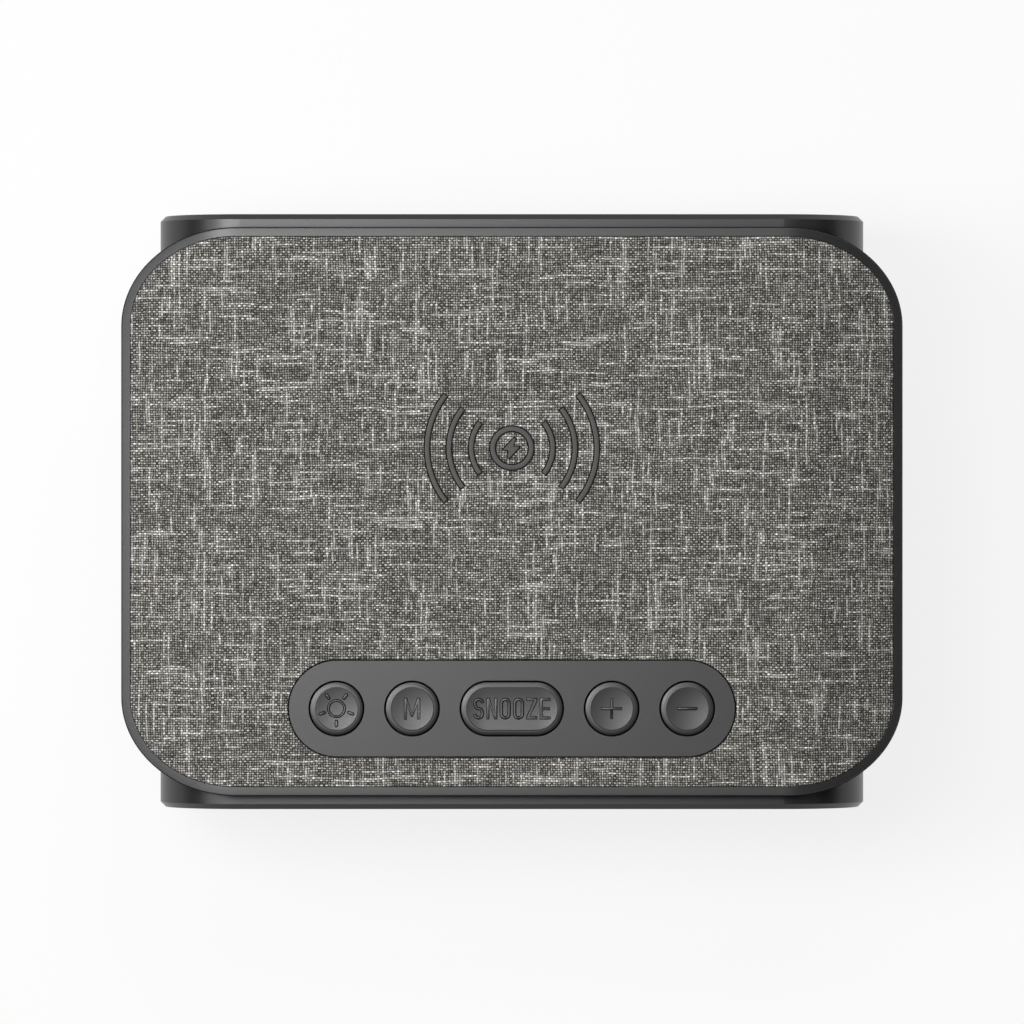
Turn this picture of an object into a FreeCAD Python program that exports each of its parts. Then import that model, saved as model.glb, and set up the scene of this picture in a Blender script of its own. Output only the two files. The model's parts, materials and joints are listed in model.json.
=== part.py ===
import FreeCAD, Part
import math
import os
from FreeCAD import Vector

# An alarm clock speaker with a charging tray on top.
# Sizes are in millimetres. X is the width, the front faces -Y, Z is up, and the feet stand on Z = 0.

# Body shell
body_width = 136.8
body_depth = 114.7
body_height = 64.0
body_corner_share = 0.117
body_wall = 2.8
body_edge = 1.0
rim_wall = 1.6
seat_gap = 0.15
corner_boss_radius = 3.2
corner_boss_bite = 0.47
corner_boss_length = 12.0

# Feet
foot_radius = 6.0
foot_height = 2.0
foot_sunk = 1.0
foot_inset_x = 22.4
foot_inset_y = 12.35

# Charging tray: flat on the body's top, its two wings bent down over the body's shoulders
tray_overhang = 6.95
tray_setback = 2.75
tray_height = 6.0
tray_bend_radius = 24.0
wing_angle_deg = 21.0
tray_corner_x = 22.3
tray_corner_y = 18.8
tray_rim = 1.75
tray_floor = 1.6
tray_ledge = 1.5
tray_boss_radius = 3.0
tray_boss_side_inset = 8.4
tray_boss_rear_inset = 10.6
tray_boss_front_inset = 30.6

# Fabric and the board under it
fabric_thickness = 0.5
fabric_sunk = 0.15
fabric_gap = 0.15
fabric_board_thickness = 1.2

# Button pad
pad_length = 85.6
pad_width = 18.4
pad_inset = 16.8
pad_proud = 0.3
pad_lip = 1.5
pad_lip_thickness = 0.8
pad_bevel = 0.35
pad_post_radius = 1.5
pad_post_x = 26.4
pad_post_y = 6.6

# Button caps: width over the cap, and the gap round it in its hole
cap_width = 10.0
snooze_length = 19.35
cap_gap = 0.3
cap_proud = 0.3
cap_bevel_width = 0.9
cap_bevel_height = 0.55
cap_dish_depth = 0.45
cap_dish_slope_share = 0.45
cap_flange = 0.9
cap_flange_thickness = 0.8
cap_rest_gap = 0.1
cap_stem_width = 3.6
cap_inner_x = 19.15
cap_outer_x = 33.65
cap_travel = 0.6

# Switches and their board
switch_width = 6.0
switch_height = 4.0
switch_gap = 0.3
plunger_radius = 1.7
plunger_out = 0.85
plunger_in = 0.8
plunger_gap = 0.05
plunger_spare = 0.2
key_board_length = 84.0
key_board_width = 17.0
key_board_thickness = 1.2
key_screw_x = 26.4
key_screw_depth = 2.0

# Charging coil, ferrite and charger board
coil_y = 12.2
coil_outer_radius = 22.0
coil_inner_radius = 10.0
coil_thickness = 1.0
coil_gap = 0.05
ferrite_width = 48.0
ferrite_corner = 2.0
ferrite_thickness = 0.8
charger_board_length = 46.0
charger_board_width = 34.0
charger_board_thickness = 1.2
charger_post_height = 3.0
charger_post_radius = 2.2
charger_post_inset = 3.2

# Front lens, display frame and display
lens_recess = 0.4
lens_thickness = 2.0
frame_thickness = 1.8
window_width = 84.0
window_height = 30.0
display_gap = 0.2
display_block_depth = 6.6
digit_height = 21.0
digit_width = 12.0
digit_pitch = 17.0
colon_room = 9.0
colon_dot_radius = 1.1
segment_width = 2.2
segment_gap = 0.35
segment_thickness = 0.4
display_board_length = 98.0
display_board_height = 34.0
display_board_thickness = 1.6
display_post_radius = 2.5
display_post_x = 45.8
display_post_z = 13.0

# Rear cover
cover_recess = 0.8
cover_thickness = 2.2
cover_edge = 0.3
grille_radius = 20.0
grille_slot = 2.0
grille_pitch = 4.0
grille_sunk = 0.6
grille_margin = 2.4
port_recess_length = 52.0
port_recess_height = 13.0
port_recess_depth = 0.8
port_gap = 0.2

# Speaker, set out along its own axis
speaker_side_inset = 34.4
speaker_seat = 3.0
speaker_outer_radius = 25.0
basket_opening = 22.3
basket_plate = 1.0
basket_neck_radius = 14.2
basket_shelf = 1.6
basket_floor_hole = 8.2
basket_depth = 11.0
basket_shelf_depth = 7.35
basket_window = 13.0
ear_circle = 27.4
ear_radius = 3.0
ear_angle_deg = 30.0
gasket_radius = 24.0
gasket_thickness = 0.7
surround_thickness = 0.3
surround_roll = 1.7
surround_flat = 1.3
cone_thickness = 0.35
cone_depth = 6.85
former_radius = 7.1
former_wall = 0.25
former_length = 9.6
winding_thickness = 0.35
winding_length = 4.0
magnet_gap = 0.3
dust_cap_radius = 8.5
dust_cap_height = 3.0
spider_thickness = 0.3
spider_gap = 0.05
top_plate_radius = 16.5
top_plate_thickness = 2.0
magnet_radius = 18.0
magnet_hole = 9.5
magnet_height = 8.0
yoke_radius = 17.0
yoke_thickness = 2.5

# Main board and its sockets
main_board_side_gap = 10.6
main_board_middle_inset = 13.4
main_board_length = 71.0
main_board_thickness = 1.6
main_board_gap = 0.45
main_post_height = 3.2
main_post_radius = 2.6
main_post_inset = 4.0
socket_sunk = 0.3
socket_wall = 0.3
usb_c_share = 0.22
usb_a_share = 0.51
jack_share = 0.8
usb_c_width = 8.9
usb_c_height = 3.2
usb_c_depth = 7.4
usb_c_tongue_width = 6.7
usb_c_tongue_height = 0.7
usb_a_width = 13.1
usb_a_height = 5.7
usb_a_depth = 13.9
usb_a_tongue_width = 11.1
usb_a_tongue_height = 1.8
usb_a_tongue_inset = 1.2
tongue_back = 0.8
jack_width = 6.6
jack_height = 5.6
jack_depth = 12.0
jack_nose_radius = 2.7
jack_bore_radius = 1.8
jack_bore_length = 13.0

# Backup cell in the underside
cell_side_inset = 34.4
cell_y = 8.0
cell_radius = 10.0
cell_thickness = 3.2
cell_gap = 0.3
cell_cover_length = 38.0
cell_cover_width = 26.0
cell_cover_corner = 4.0
cell_cover_thickness = 1.6
cell_offset = 5.0
cell_rest_gap = 0.1
holder_wall = 1.6
holder_top = 1.2
contact_width = 4.0
contact_length = 14.0
contact_height = 0.7

# Screws: shank radius, and head radius and height
screw_radius = 1.2
screw_head_radius = 2.4
screw_head_height = 1.2
small_screw_radius = 0.9
small_head_radius = 1.8
small_head_height = 1.0
screw_gap = 0.05
screw_pass_gap = 0.25
screw_bite = 5.0
screw_sides = 6
boss_sides = 8

# Chips, as shares of the board that carries them: x, y, length and width, and their heights
chip_height = 1.4
choke_radius = 3.5
choke_height = 4.0
can_radius = 2.6
can_height = 7.0
main_chip_shares = [(0.30, 0.35, 0.20, 0.16), (0.68, 0.30, 0.14, 0.11), (0.66, 0.54, 0.12, 0.08)]
main_can_shares = [(0.22, 0.62), (0.38, 0.62)]
charger_chip_shares = [(0.35, 0.45, 0.16, 0.22), (0.62, 0.45, 0.14, 0.16), (0.50, 0.80, 0.24, 0.10)]
choke_share = 0.8

# Cuts run past the faces that they open by this much
overrun = 1.0
plane_tolerance = 0.001

# Heights and depths that the pieces share
body_corner = body_corner_share * body_width
body_bottom = foot_height
body_top = body_bottom + body_height
body_middle = body_bottom + body_height / 2
inner_bottom = body_bottom + body_wall
inner_top = body_top - body_wall
front_end = -body_depth / 2
rear_end = body_depth / 2
tray_width = body_width + 2 * tray_overhang
tray_depth = body_depth - 2 * tray_setback
tray_top = body_top + tray_height
corner_boss_reach = body_corner - body_wall - corner_boss_radius + corner_boss_bite
corner_boss_inset = body_corner - corner_boss_reach / math.sqrt(2)
bend_start = body_width / 2 - body_corner
tray_boss_x = bend_start - tray_boss_side_inset
floor_top = body_top + tray_floor
fabric_low = fabric_sunk + fabric_thickness
board_low = fabric_low + fabric_board_thickness
board_bottom = tray_top - board_low
pad_y = tray_depth / 2 - pad_inset
pad_top = tray_top + pad_proud
pad_bottom = board_bottom - pad_lip_thickness
cap_top = pad_top + cap_proud
flange_top = pad_bottom - cap_rest_gap
flange_bottom = flange_top - cap_flange_thickness
key_board_bottom = inner_top - key_board_thickness
switch_top = inner_top + switch_height
plunger_top = switch_top + plunger_out
coil_top = board_bottom - coil_gap
ferrite_top = coil_top - coil_thickness - coil_gap
lens_front = front_end + lens_recess
lens_rear = lens_front + lens_thickness
frame_rear = lens_rear + frame_thickness
cover_rear = rear_end - cover_recess
cover_inner = cover_rear - cover_thickness
seat_face = cover_inner - speaker_seat
flange_rear = seat_face - gasket_thickness - surround_thickness
basket_base = flange_rear - basket_depth
speaker_x = body_width / 2 - speaker_side_inset
cell_x = body_width / 2 - cell_side_inset
main_board_width = body_width / 2 - main_board_middle_inset
main_board_right = body_width / 2 - body_wall - main_board_side_gap
main_board_left = main_board_right - main_board_width
usb_c_x = main_board_left + usb_c_share * main_board_width
usb_a_x = main_board_left + usb_a_share * main_board_width
jack_x = main_board_left + jack_share * main_board_width
main_board_bottom = inner_bottom + main_post_height
main_board_top = main_board_bottom + main_board_thickness
main_board_rear = cover_inner - main_board_gap
cell_bottom = body_bottom + cell_cover_thickness + cell_rest_gap
cell_top = cell_bottom + cell_thickness
contact_top = cell_top + contact_height

# Places that more than one piece uses
side_signs = [-1, 1]
cap_centres = {
    "light": -cap_outer_x,
    "mode": -cap_inner_x,
    "snooze": 0,
    "plus": cap_inner_x,
    "minus": cap_outer_x,
}
cap_lengths = {name: snooze_length if name == "snooze" else cap_width for name in cap_centres}
corner_boss_places = [
    (side * (body_width / 2 - corner_boss_inset), body_middle + level * (body_height / 2 - corner_boss_inset))
    for side in side_signs
    for level in side_signs
]
tray_boss_places = [
    (side * tray_boss_x, y)
    for side in side_signs
    for y in (tray_depth / 2 - tray_boss_rear_inset, tray_boss_front_inset - tray_depth / 2)
]
foot_places = [
    (side * (body_width / 2 - foot_inset_x), end * (body_depth / 2 - foot_inset_y))
    for side in side_signs
    for end in side_signs
]
main_post_places = [
    (main_board_left + main_post_inset, main_board_rear - main_board_length + main_post_inset),
    (main_board_left + main_board_width - main_post_inset,
     main_board_rear - main_board_length + main_post_inset),
    (main_board_left + main_board_width - main_post_inset, main_board_rear - main_board_length / 2),
]
charger_post_places = [
    (side * (charger_board_length / 2 - charger_post_inset),
     coil_y + side * (charger_board_width / 2 - charger_post_inset))
    for side in side_signs
]
display_post_places = [(side * display_post_x, body_middle + side * display_post_z) for side in side_signs]
ear_angles = [ear_angle_deg, 180 - ear_angle_deg, 180 + ear_angle_deg, 360 - ear_angle_deg]
ear_places = [
    (-speaker_x + ear_circle * math.cos(math.radians(angle)),
     body_middle + ear_circle * math.sin(math.radians(angle)))
    for angle in ear_angles
]
cell_cover_x = -cell_x + cell_offset
cell_screw_x = cell_cover_x + cell_cover_length / 2 - cell_offset


# A box between two opposite corners
def block(x_from, x_to, y_from, y_to, z_from, z_to):
    corner = Vector(x_from, y_from, z_from)
    return Part.makeBox(x_to - x_from, y_to - y_from, z_to - z_from, corner)


# A box with its centre above or below one point
def standing_block(x, y, length, width, z_from, z_to):
    return block(x - length / 2, x + length / 2, y - width / 2, y + width / 2, z_from, z_to)


def rod_z(x, y, radius, z_from, z_to):
    return Part.makeCylinder(radius, z_to - z_from, Vector(x, y, z_from))


def rod_y(x, z, radius, y_from, y_to):
    return Part.makeCylinder(radius, y_to - y_from, Vector(x, y_from, z), Vector(0, 1, 0))


def join(shapes):
    return shapes[0].multiFuse(shapes[1:]).removeSplitter()


def without(shape, cutters):
    return shape.cut(cutters)


# The edges of a shape that lie in one plane square to an axis
def edges_in_plane(shape, axis, place):
    chosen = []
    for edge in shape.Edges:
        low = getattr(edge.BoundBox, axis + "Min")
        high = getattr(edge.BoundBox, axis + "Max")
        if max(abs(low - place), abs(high - place)) < plane_tolerance:
            chosen.append(edge)
    return chosen


# A quarter of an ellipse whose long axis may lie either way
def quarter_ellipse(centre, radius_x, radius_y, start_deg):
    if radius_x >= radius_y:
        curve = Part.Ellipse(centre, radius_x, radius_y)
        turned_deg = 0
    else:
        curve = Part.Ellipse(centre + Vector(0, radius_y, 0), centre - Vector(radius_x, 0, 0), centre)
        turned_deg = 90
    start = math.radians(start_deg - turned_deg)
    return Part.ArcOfEllipse(curve, start, start + math.pi / 2).toShape()


# A rectangle on the XY plane with its corners rounded by quarters of an ellipse or a circle
def rounded_wire(width, depth, corner_x, corner_y):
    half_x = width / 2 - corner_x
    half_y = depth / 2 - corner_y
    centres = [(half_x, half_y), (-half_x, half_y), (-half_x, -half_y), (half_x, -half_y)]
    edges = []
    for quarter, (x, y) in enumerate(centres):
        start_deg = 90 * quarter
        centre = Vector(x, y, 0)
        if corner_x == corner_y:
            circle = Part.Circle(centre, Vector(0, 0, 1), corner_x)
            start = math.radians(start_deg)
            arc = Part.ArcOfCircle(circle, start, start + math.pi / 2).toShape()
        else:
            arc = quarter_ellipse(centre, corner_x, corner_y, start_deg)
        edges.append(arc)
    sides = []
    for arc, following in zip(edges, edges[1:] + edges[:1]):
        sides.append(Part.makeLine(arc.lastVertex().Point, following.firstVertex().Point))
    loop = [edge for pair in zip(edges, sides) for edge in pair]
    return Part.Wire(loop)


def rounded_plate(width, depth, corner_x, corner_y, z_from, z_to):
    face = Part.Face(rounded_wire(width, depth, corner_x, corner_y))
    face.translate(Vector(0, 0, z_from))
    return face.extrude(Vector(0, 0, z_to - z_from))


# The body's own outline, drawn in by an amount, from one depth to another
def body_prism(drawn_in, y_from, y_to):
    corner = body_corner - drawn_in
    wire = rounded_wire(body_width - 2 * drawn_in, body_height - 2 * drawn_in, corner, corner)
    face = Part.Face(wire)
    face.rotate(Vector(0, 0, 0), Vector(1, 0, 0), 90)
    face.translate(Vector(0, y_from, body_middle))
    return face.extrude(Vector(0, y_to - y_from, 0))


# Half of the tray's section, sunk below its top face by an amount: flat end, bend's middle and end, wing tip
def wing_points(sunk):
    radius = tray_bend_radius - sunk
    turn = math.radians(wing_angle_deg)
    centre_z = tray_top - tray_bend_radius
    bend_end_x = bend_start + radius * math.sin(turn)
    bend_end_z = centre_z + radius * math.cos(turn)
    tip_x = tray_width / 2 + overrun
    tip_z = bend_end_z - (tip_x - bend_end_x) * math.tan(turn)
    middle = (bend_start + radius * math.sin(turn / 2), centre_z + radius * math.cos(turn / 2))
    return [(bend_start, centre_z + radius), middle, (bend_end_x, bend_end_z), (tip_x, tip_z)]


def wing_edges(sunk, y, side):
    flat_end, middle, bend_end, tip = [Vector(side * x, y, z) for x, z in wing_points(sunk)]
    return [Part.Arc(flat_end, middle, bend_end).toShape(), Part.makeLine(bend_end, tip)]


# A slab between two depths below the tray's top face, wider and deeper than the tray
def saddle_slab(sunk_from, sunk_to):
    y = -tray_depth / 2 - overrun
    edges = []
    tips = []
    for sunk in (sunk_from, sunk_to):
        flat_z = wing_points(sunk)[0][1]
        edges.append(Part.makeLine(Vector(-bend_start, y, flat_z), Vector(bend_start, y, flat_z)))
        for side in side_signs:
            edges += wing_edges(sunk, y, side)
        tip_x, tip_z = wing_points(sunk)[3]
        tips.append((tip_x, tip_z))
    (upper_x, upper_z), (lower_x, lower_z) = tips
    for side in side_signs:
        edges.append(Part.makeLine(Vector(side * upper_x, y, upper_z), Vector(side * lower_x, y, lower_z)))
    face = Part.Face(Part.Wire(Part.__sortEdges__(edges)))
    return face.extrude(Vector(0, tray_depth + 2 * overrun, 0))


# The tray's own outline, drawn in by an amount, between two depths below its top face
def tray_plate(drawn_in, sunk_from, sunk_to):
    width = tray_width - 2 * drawn_in
    depth = tray_depth - 2 * drawn_in
    outline = rounded_plate(width, depth, tray_corner_x - drawn_in, tray_corner_y - drawn_in,
                            body_bottom, tray_top + 2 * overrun)
    return outline.common(saddle_slab(sunk_from, sunk_to))


# A stadium on a level plane, or a circle where its length is its width
def stadium_wire(x, y, z, length, width):
    radius = width / 2
    reach = (length - width) / 2
    if reach <= plane_tolerance:
        return Part.Wire(Part.makeCircle(radius, Vector(x, y, z)))
    right = Part.Arc(
        Vector(x + reach, y - radius, z), Vector(x + reach + radius, y, z), Vector(x + reach, y + radius, z)
    ).toShape()
    left = Part.Arc(
        Vector(x - reach, y + radius, z), Vector(x - reach - radius, y, z), Vector(x - reach, y - radius, z)
    ).toShape()
    upper = Part.makeLine(right.lastVertex().Point, left.firstVertex().Point)
    lower = Part.makeLine(left.lastVertex().Point, right.firstVertex().Point)
    return Part.Wire([right, upper, left, lower])


def stadium(x, y, length, width, z_from, z_to):
    face = Part.Face(stadium_wire(x, y, z_from, length, width))
    return face.extrude(Vector(0, 0, z_to - z_from))


# A stadium that stands upright and runs back along Y
def upright_stadium(x, z, length, height, y_from, y_to):
    solid = stadium(0, 0, length, height, 0, y_to - y_from)
    solid.rotate(Vector(0, 0, 0), Vector(1, 0, 0), 90)
    solid.translate(Vector(x, y_to, z))
    return solid


# A ring or disc turned about the speaker's axis from (radius, y) points
def speaker_turned(points):
    corners = [Vector(-speaker_x + radius, y, body_middle) for radius, y in points]
    face = Part.Face(Part.makePolygon(corners + corners[:1]))
    return face.revolve(Vector(-speaker_x, 0, body_middle), Vector(0, 1, 0), 360)


def speaker_ring(inner, outer, y_from, y_to):
    return speaker_turned([(inner, y_from), (outer, y_from), (outer, y_to), (inner, y_to)])


# A bar with flat sides along Z, whose corners lie on the radius
def flat_bar(radius, length, sides):
    corners = []
    for turn in range(sides):
        angle = 2 * math.pi * turn / sides
        corners.append(Vector(radius * math.cos(angle), radius * math.sin(angle), 0))
    return Part.Face(Part.makePolygon(corners + corners[:1])).extrude(Vector(0, 0, length))


def flat_bar_z(x, y, radius, z_from, z_to, sides):
    bar = flat_bar(radius, z_to - z_from, sides)
    bar.translate(Vector(x, y, z_from))
    return bar


def flat_bar_y(x, z, radius, y_from, y_to, sides):
    bar = flat_bar(radius, y_to - y_from, sides)
    bar.rotate(Vector(0, 0, 0), Vector(1, 0, 0), 90)
    bar.translate(Vector(x, y_to, z))
    return bar


# Moulded bosses, and the hidden screws' holes, are flat sided to stay light
def boss_z(x, y, radius, z_from, z_to):
    return flat_bar_z(x, y, radius, z_from, z_to, boss_sides)


def boss_y(x, z, radius, y_from, y_to):
    return flat_bar_y(x, z, radius, y_from, y_to, boss_sides)


def pilot_z(x, y, radius, z_from, z_to):
    return flat_bar_z(x, y, radius, z_from, z_to, screw_sides)


def pilot_y(x, z, radius, y_from, y_to):
    return flat_bar_y(x, z, radius, y_from, y_to, screw_sides)


# A screw whose head lies against a level plane; its shank points up or down from there
def screw_z(x, y, z, way, length, radius, head_radius, head_height):
    shank_end = z + way * length
    head_end = z - way * head_height
    shank = pilot_z(x, y, radius, min(z, shank_end), max(z, shank_end))
    return shank.fuse(pilot_z(x, y, head_radius, min(z, head_end), max(z, head_end)))


def screw_y(x, z, y, way, length, radius, head_radius, head_height):
    shank_end = y + way * length
    head_end = y - way * head_height
    shank = pilot_y(x, z, radius, min(y, shank_end), max(y, shank_end))
    return shank.fuse(pilot_y(x, z, head_radius, min(y, head_end), max(y, head_end)))


# Body shell: a tube along Y, stepped at both ends for the lens and the rear cover
def make_body_shell():
    outer = body_prism(0, front_end, rear_end)
    ends = edges_in_plane(outer, "Y", front_end) + edges_in_plane(outer, "Y", rear_end)
    outer = outer.makeChamfer(body_edge, ends)
    hollow = body_prism(body_wall, front_end - overrun, rear_end + overrun)
    front_step = body_prism(rim_wall, front_end - overrun, lens_rear)
    rear_step = body_prism(rim_wall, cover_inner, rear_end + overrun)
    shell = without(outer, [hollow, front_step, rear_step])
    bosses = []
    holes = []
    for x, z in corner_boss_places:
        bosses.append(boss_y(x, z, corner_boss_radius, cover_inner - corner_boss_length, cover_inner))
        hole_start = cover_inner - screw_bite - 2 * screw_radius
        holes.append(pilot_y(x, z, screw_radius + screw_gap, hole_start, cover_inner + overrun))
    for x, y in main_post_places:
        bosses.append(boss_z(x, y, main_post_radius, inner_bottom - plane_tolerance, main_board_bottom))
        holes.append(pilot_z(x, y, small_screw_radius + screw_gap, inner_bottom, main_board_bottom + overrun))
    for x, y in charger_post_places:
        bosses.append(boss_z(x, y, charger_post_radius, inner_top - charger_post_height,
                             inner_top + plane_tolerance))
        low = inner_top - charger_post_height - overrun
        holes.append(pilot_z(x, y, small_screw_radius + screw_gap, low, inner_top))
    for x, y in foot_places:
        holes.append(rod_z(x, y, foot_radius + seat_gap, body_bottom - overrun, body_bottom + foot_sunk))
    for x, y in tray_boss_places:
        holes.append(pilot_z(x, y, screw_radius + screw_pass_gap, inner_top - overrun, body_top + overrun))
    for x in cap_centres.values():
        width = switch_width + 2 * switch_gap
        holes.append(standing_block(x, -pad_y, width, width, inner_top - overrun, body_top + overrun))
    for side in side_signs:
        x = side * key_screw_x
        holes.append(pilot_z(x, -pad_y, small_screw_radius + screw_gap, inner_top - overrun,
                             inner_top + key_screw_depth))
    shell = without(join([shell] + bosses), holes)
    return without(shell, cell_openings())


# The stepped opening for the backup cell's cover, with its screw hole
def cell_openings():
    cover_top = body_bottom + cell_cover_thickness
    length = cell_cover_length + 2 * seat_gap
    width = cell_cover_width + 2 * seat_gap
    corner = cell_cover_corner + seat_gap
    recess = rounded_plate(length, width, corner, corner, body_bottom - overrun, cover_top)
    recess.translate(Vector(cell_cover_x, -cell_y, 0))
    way_in = rod_z(-cell_x, -cell_y, cell_radius + cell_gap, body_bottom, inner_bottom + overrun)
    pilot = pilot_z(cell_screw_x, -cell_y, small_screw_radius + screw_gap, body_bottom,
                    inner_bottom + overrun)
    return [recess, way_in, pilot]


def make_feet():
    return [rod_z(x, y, foot_radius, 0, body_bottom + foot_sunk) for x, y in foot_places]


# Tray frame: the rim, the ledge that carries the fabric board, and the floor on the body's top
def make_tray_frame():
    outer = tray_plate(0, 0, tray_height)
    board_room = tray_plate(tray_rim, -overrun, board_low)
    lower_room = tray_plate(tray_rim + tray_ledge, -overrun, tray_height - tray_floor)
    frame = without(outer, [board_room, lower_room])
    posts = [boss_z(x, y, tray_boss_radius, floor_top - plane_tolerance, board_bottom) for x,
             y in tray_boss_places]
    seat_bottom = floor_top - plane_tolerance
    seat = rounded_plate(ferrite_width, ferrite_width, ferrite_corner, ferrite_corner, seat_bottom,
                         ferrite_top - ferrite_thickness)
    seat.translate(Vector(0, coil_y, 0))
    frame = join([frame, seat] + posts)
    holes = []
    for x, y in tray_boss_places:
        holes.append(pilot_z(x, y, screw_radius + screw_gap, body_top - overrun,
                             body_top + screw_bite - body_wall))
    for x in cap_centres.values():
        width = switch_width + 2 * switch_gap
        holes.append(standing_block(x, -pad_y, width, width, body_top - overrun, floor_top + overrun))
    return without(frame, holes)


# The pad's opening in the board and the fabric, a little longer and wider than the pad
def pad_opening():
    length = pad_length + 2 * fabric_gap
    width = pad_width + 2 * fabric_gap
    return stadium(0, -pad_y, length, width, board_bottom - overrun, tray_top + overrun)


def make_fabric_board():
    board = tray_plate(tray_rim + fabric_gap, fabric_low, board_low)
    return without(board, [pad_opening()])


def make_fabric_cover():
    cover = tray_plate(tray_rim + fabric_gap, fabric_sunk, fabric_low)
    return without(cover, [pad_opening()])


# Button pad: a bevelled stadium with a lip that holds it under the fabric board, on four posts
def make_button_pad():
    pad = stadium(0, -pad_y, pad_length, pad_width, pad_bottom, pad_top)
    pad = pad.makeChamfer(pad_bevel, edges_in_plane(pad, "Z", pad_top))
    lip = stadium(0, -pad_y, pad_length + 2 * pad_lip, pad_width + 2 * pad_lip, pad_bottom, board_bottom)
    posts = [
        boss_z(side * pad_post_x, -pad_y + end * pad_post_y, pad_post_radius, floor_top,
               pad_bottom + plane_tolerance)
        for side in side_signs
        for end in side_signs
    ]
    holes = [
        stadium(x, -pad_y, cap_lengths[name] + 2 * cap_gap, cap_width + 2 * cap_gap,
                pad_bottom - overrun, pad_top + overrun)
        for name, x in cap_centres.items()
    ]
    return without(join([pad, lip] + posts), holes)


# A button: bevelled cap with a shallow tapered dish, the flange that keeps it in the pad, and its stem
def make_button(name):
    x = cap_centres[name]
    length = cap_lengths[name]
    bevel_bottom = cap_top - cap_bevel_height
    wall = stadium(x, -pad_y, length, cap_width, flange_bottom, bevel_bottom)
    dish_length = length - 2 * cap_bevel_width
    dish_width = cap_width - 2 * cap_bevel_width
    lower = stadium_wire(x, -pad_y, bevel_bottom, length, cap_width)
    upper = stadium_wire(x, -pad_y, cap_top, dish_length, dish_width)
    bevel = Part.makeLoft([lower, upper], True, True)
    flange = standing_block(x, -pad_y, length + 2 * cap_flange, cap_width + 2 * cap_flange, flange_bottom,
                            flange_top)
    stem = standing_block(x, -pad_y, cap_stem_width, cap_stem_width, plunger_top,
                          flange_bottom + plane_tolerance)
    body = join([wall, bevel, flange, stem])
    slope_width = cap_dish_slope_share * dish_width
    floor_z = cap_top - cap_dish_depth
    floor_wire = stadium_wire(x, -pad_y, floor_z, dish_length - slope_width, dish_width - slope_width)
    return without(body, [Part.makeLoft([floor_wire, upper], True, True)])


def make_switch(x):
    body = standing_block(x, -pad_y, switch_width, switch_width, inner_top, switch_top)
    bore_bottom = switch_top - plunger_in - cap_travel - plunger_spare
    return without(body, [rod_z(x, -pad_y, plunger_radius + plunger_gap, bore_bottom, switch_top + overrun)])


def make_plunger(x):
    return rod_z(x, -pad_y, plunger_radius, switch_top - plunger_in, plunger_top)


def make_key_board():
    board = standing_block(0, -pad_y, key_board_length, key_board_width, key_board_bottom, inner_top)
    holes = []
    for side in side_signs:
        x = side * key_screw_x
        holes.append(pilot_z(x, -pad_y, small_screw_radius + screw_gap, key_board_bottom - overrun,
                             inner_top + overrun))
    return without(board, holes)


def make_key_screws():
    length = key_board_thickness + key_screw_depth - screw_gap
    return [
        screw_z(side * key_screw_x, -pad_y, key_board_bottom, 1, length, small_screw_radius,
                small_head_radius, small_head_height)
        for side in side_signs
    ]


def make_tray_screws():
    return [
        screw_z(x, y, inner_top, 1, screw_bite - screw_gap, screw_radius, screw_head_radius,
                screw_head_height)
        for x, y in tray_boss_places
    ]


def make_charging_coil():
    coil_bottom = coil_top - coil_thickness
    coil = rod_z(0, coil_y, coil_outer_radius, coil_bottom, coil_top)
    return without(coil, [rod_z(0, coil_y, coil_inner_radius, coil_bottom - overrun, coil_top + overrun)])


def make_ferrite_sheet():
    sheet = rounded_plate(ferrite_width, ferrite_width, ferrite_corner, ferrite_corner,
                          ferrite_top - ferrite_thickness, ferrite_top)
    sheet.translate(Vector(0, coil_y, 0))
    return sheet


def make_charger_board():
    board_top = inner_top - charger_post_height
    low = board_top - charger_board_thickness
    board = standing_block(0, coil_y, charger_board_length, charger_board_width, low, board_top)
    hole_radius = small_screw_radius + screw_gap
    return without(board, [pilot_z(x, y, hole_radius, low - overrun, board_top + overrun) for x,
                           y in charger_post_places])


def make_charger_screws():
    z = inner_top - charger_post_height - charger_board_thickness
    length = charger_board_thickness + charger_post_height - screw_gap
    return [
        screw_z(x, y, z, 1, length, small_screw_radius, small_head_radius, small_head_height)
        for x, y in charger_post_places
    ]


# Chips and a choke hang under the charger board
def make_charger_parts():
    board_bottom_z = inner_top - charger_post_height - charger_board_thickness
    left = -charger_board_length / 2
    front = coil_y - charger_board_width / 2
    solids = []
    for x_share, y_share, length_share, width_share in charger_chip_shares:
        x = left + x_share * charger_board_length
        y = front + y_share * charger_board_width
        solids.append(standing_block(x, y, length_share * charger_board_length,
                                     width_share * charger_board_width,
                                     board_bottom_z - chip_height, board_bottom_z))
    choke_x = left + choke_share * charger_board_length
    solids.append(rod_z(choke_x, coil_y, choke_radius, board_bottom_z - choke_height, board_bottom_z))
    return solids


def make_front_lens():
    lens = body_prism(rim_wall + seat_gap, lens_front, lens_rear)
    return lens.makeChamfer(cover_edge, edges_in_plane(lens, "Y", lens_front))


# Display frame: blacks out the view round the display and carries the display board on two posts
def make_display_frame():
    plate = body_prism(body_wall + seat_gap, lens_rear, frame_rear)
    board_front = display_board_front()
    posts = [boss_y(x, z, display_post_radius, frame_rear - plane_tolerance, board_front) for x,
             z in display_post_places]
    plate = join([plate] + posts)
    window = block(-window_width / 2, window_width / 2, lens_rear - overrun, frame_rear + overrun,
                   body_middle - window_height / 2, body_middle + window_height / 2)
    holes = [window]
    for x, z in display_post_places:
        holes.append(pilot_y(x, z, small_screw_radius + screw_gap, frame_rear, board_front + overrun))
    return without(plate, holes)


def display_board_front():
    return lens_rear + segment_thickness + display_block_depth


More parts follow.
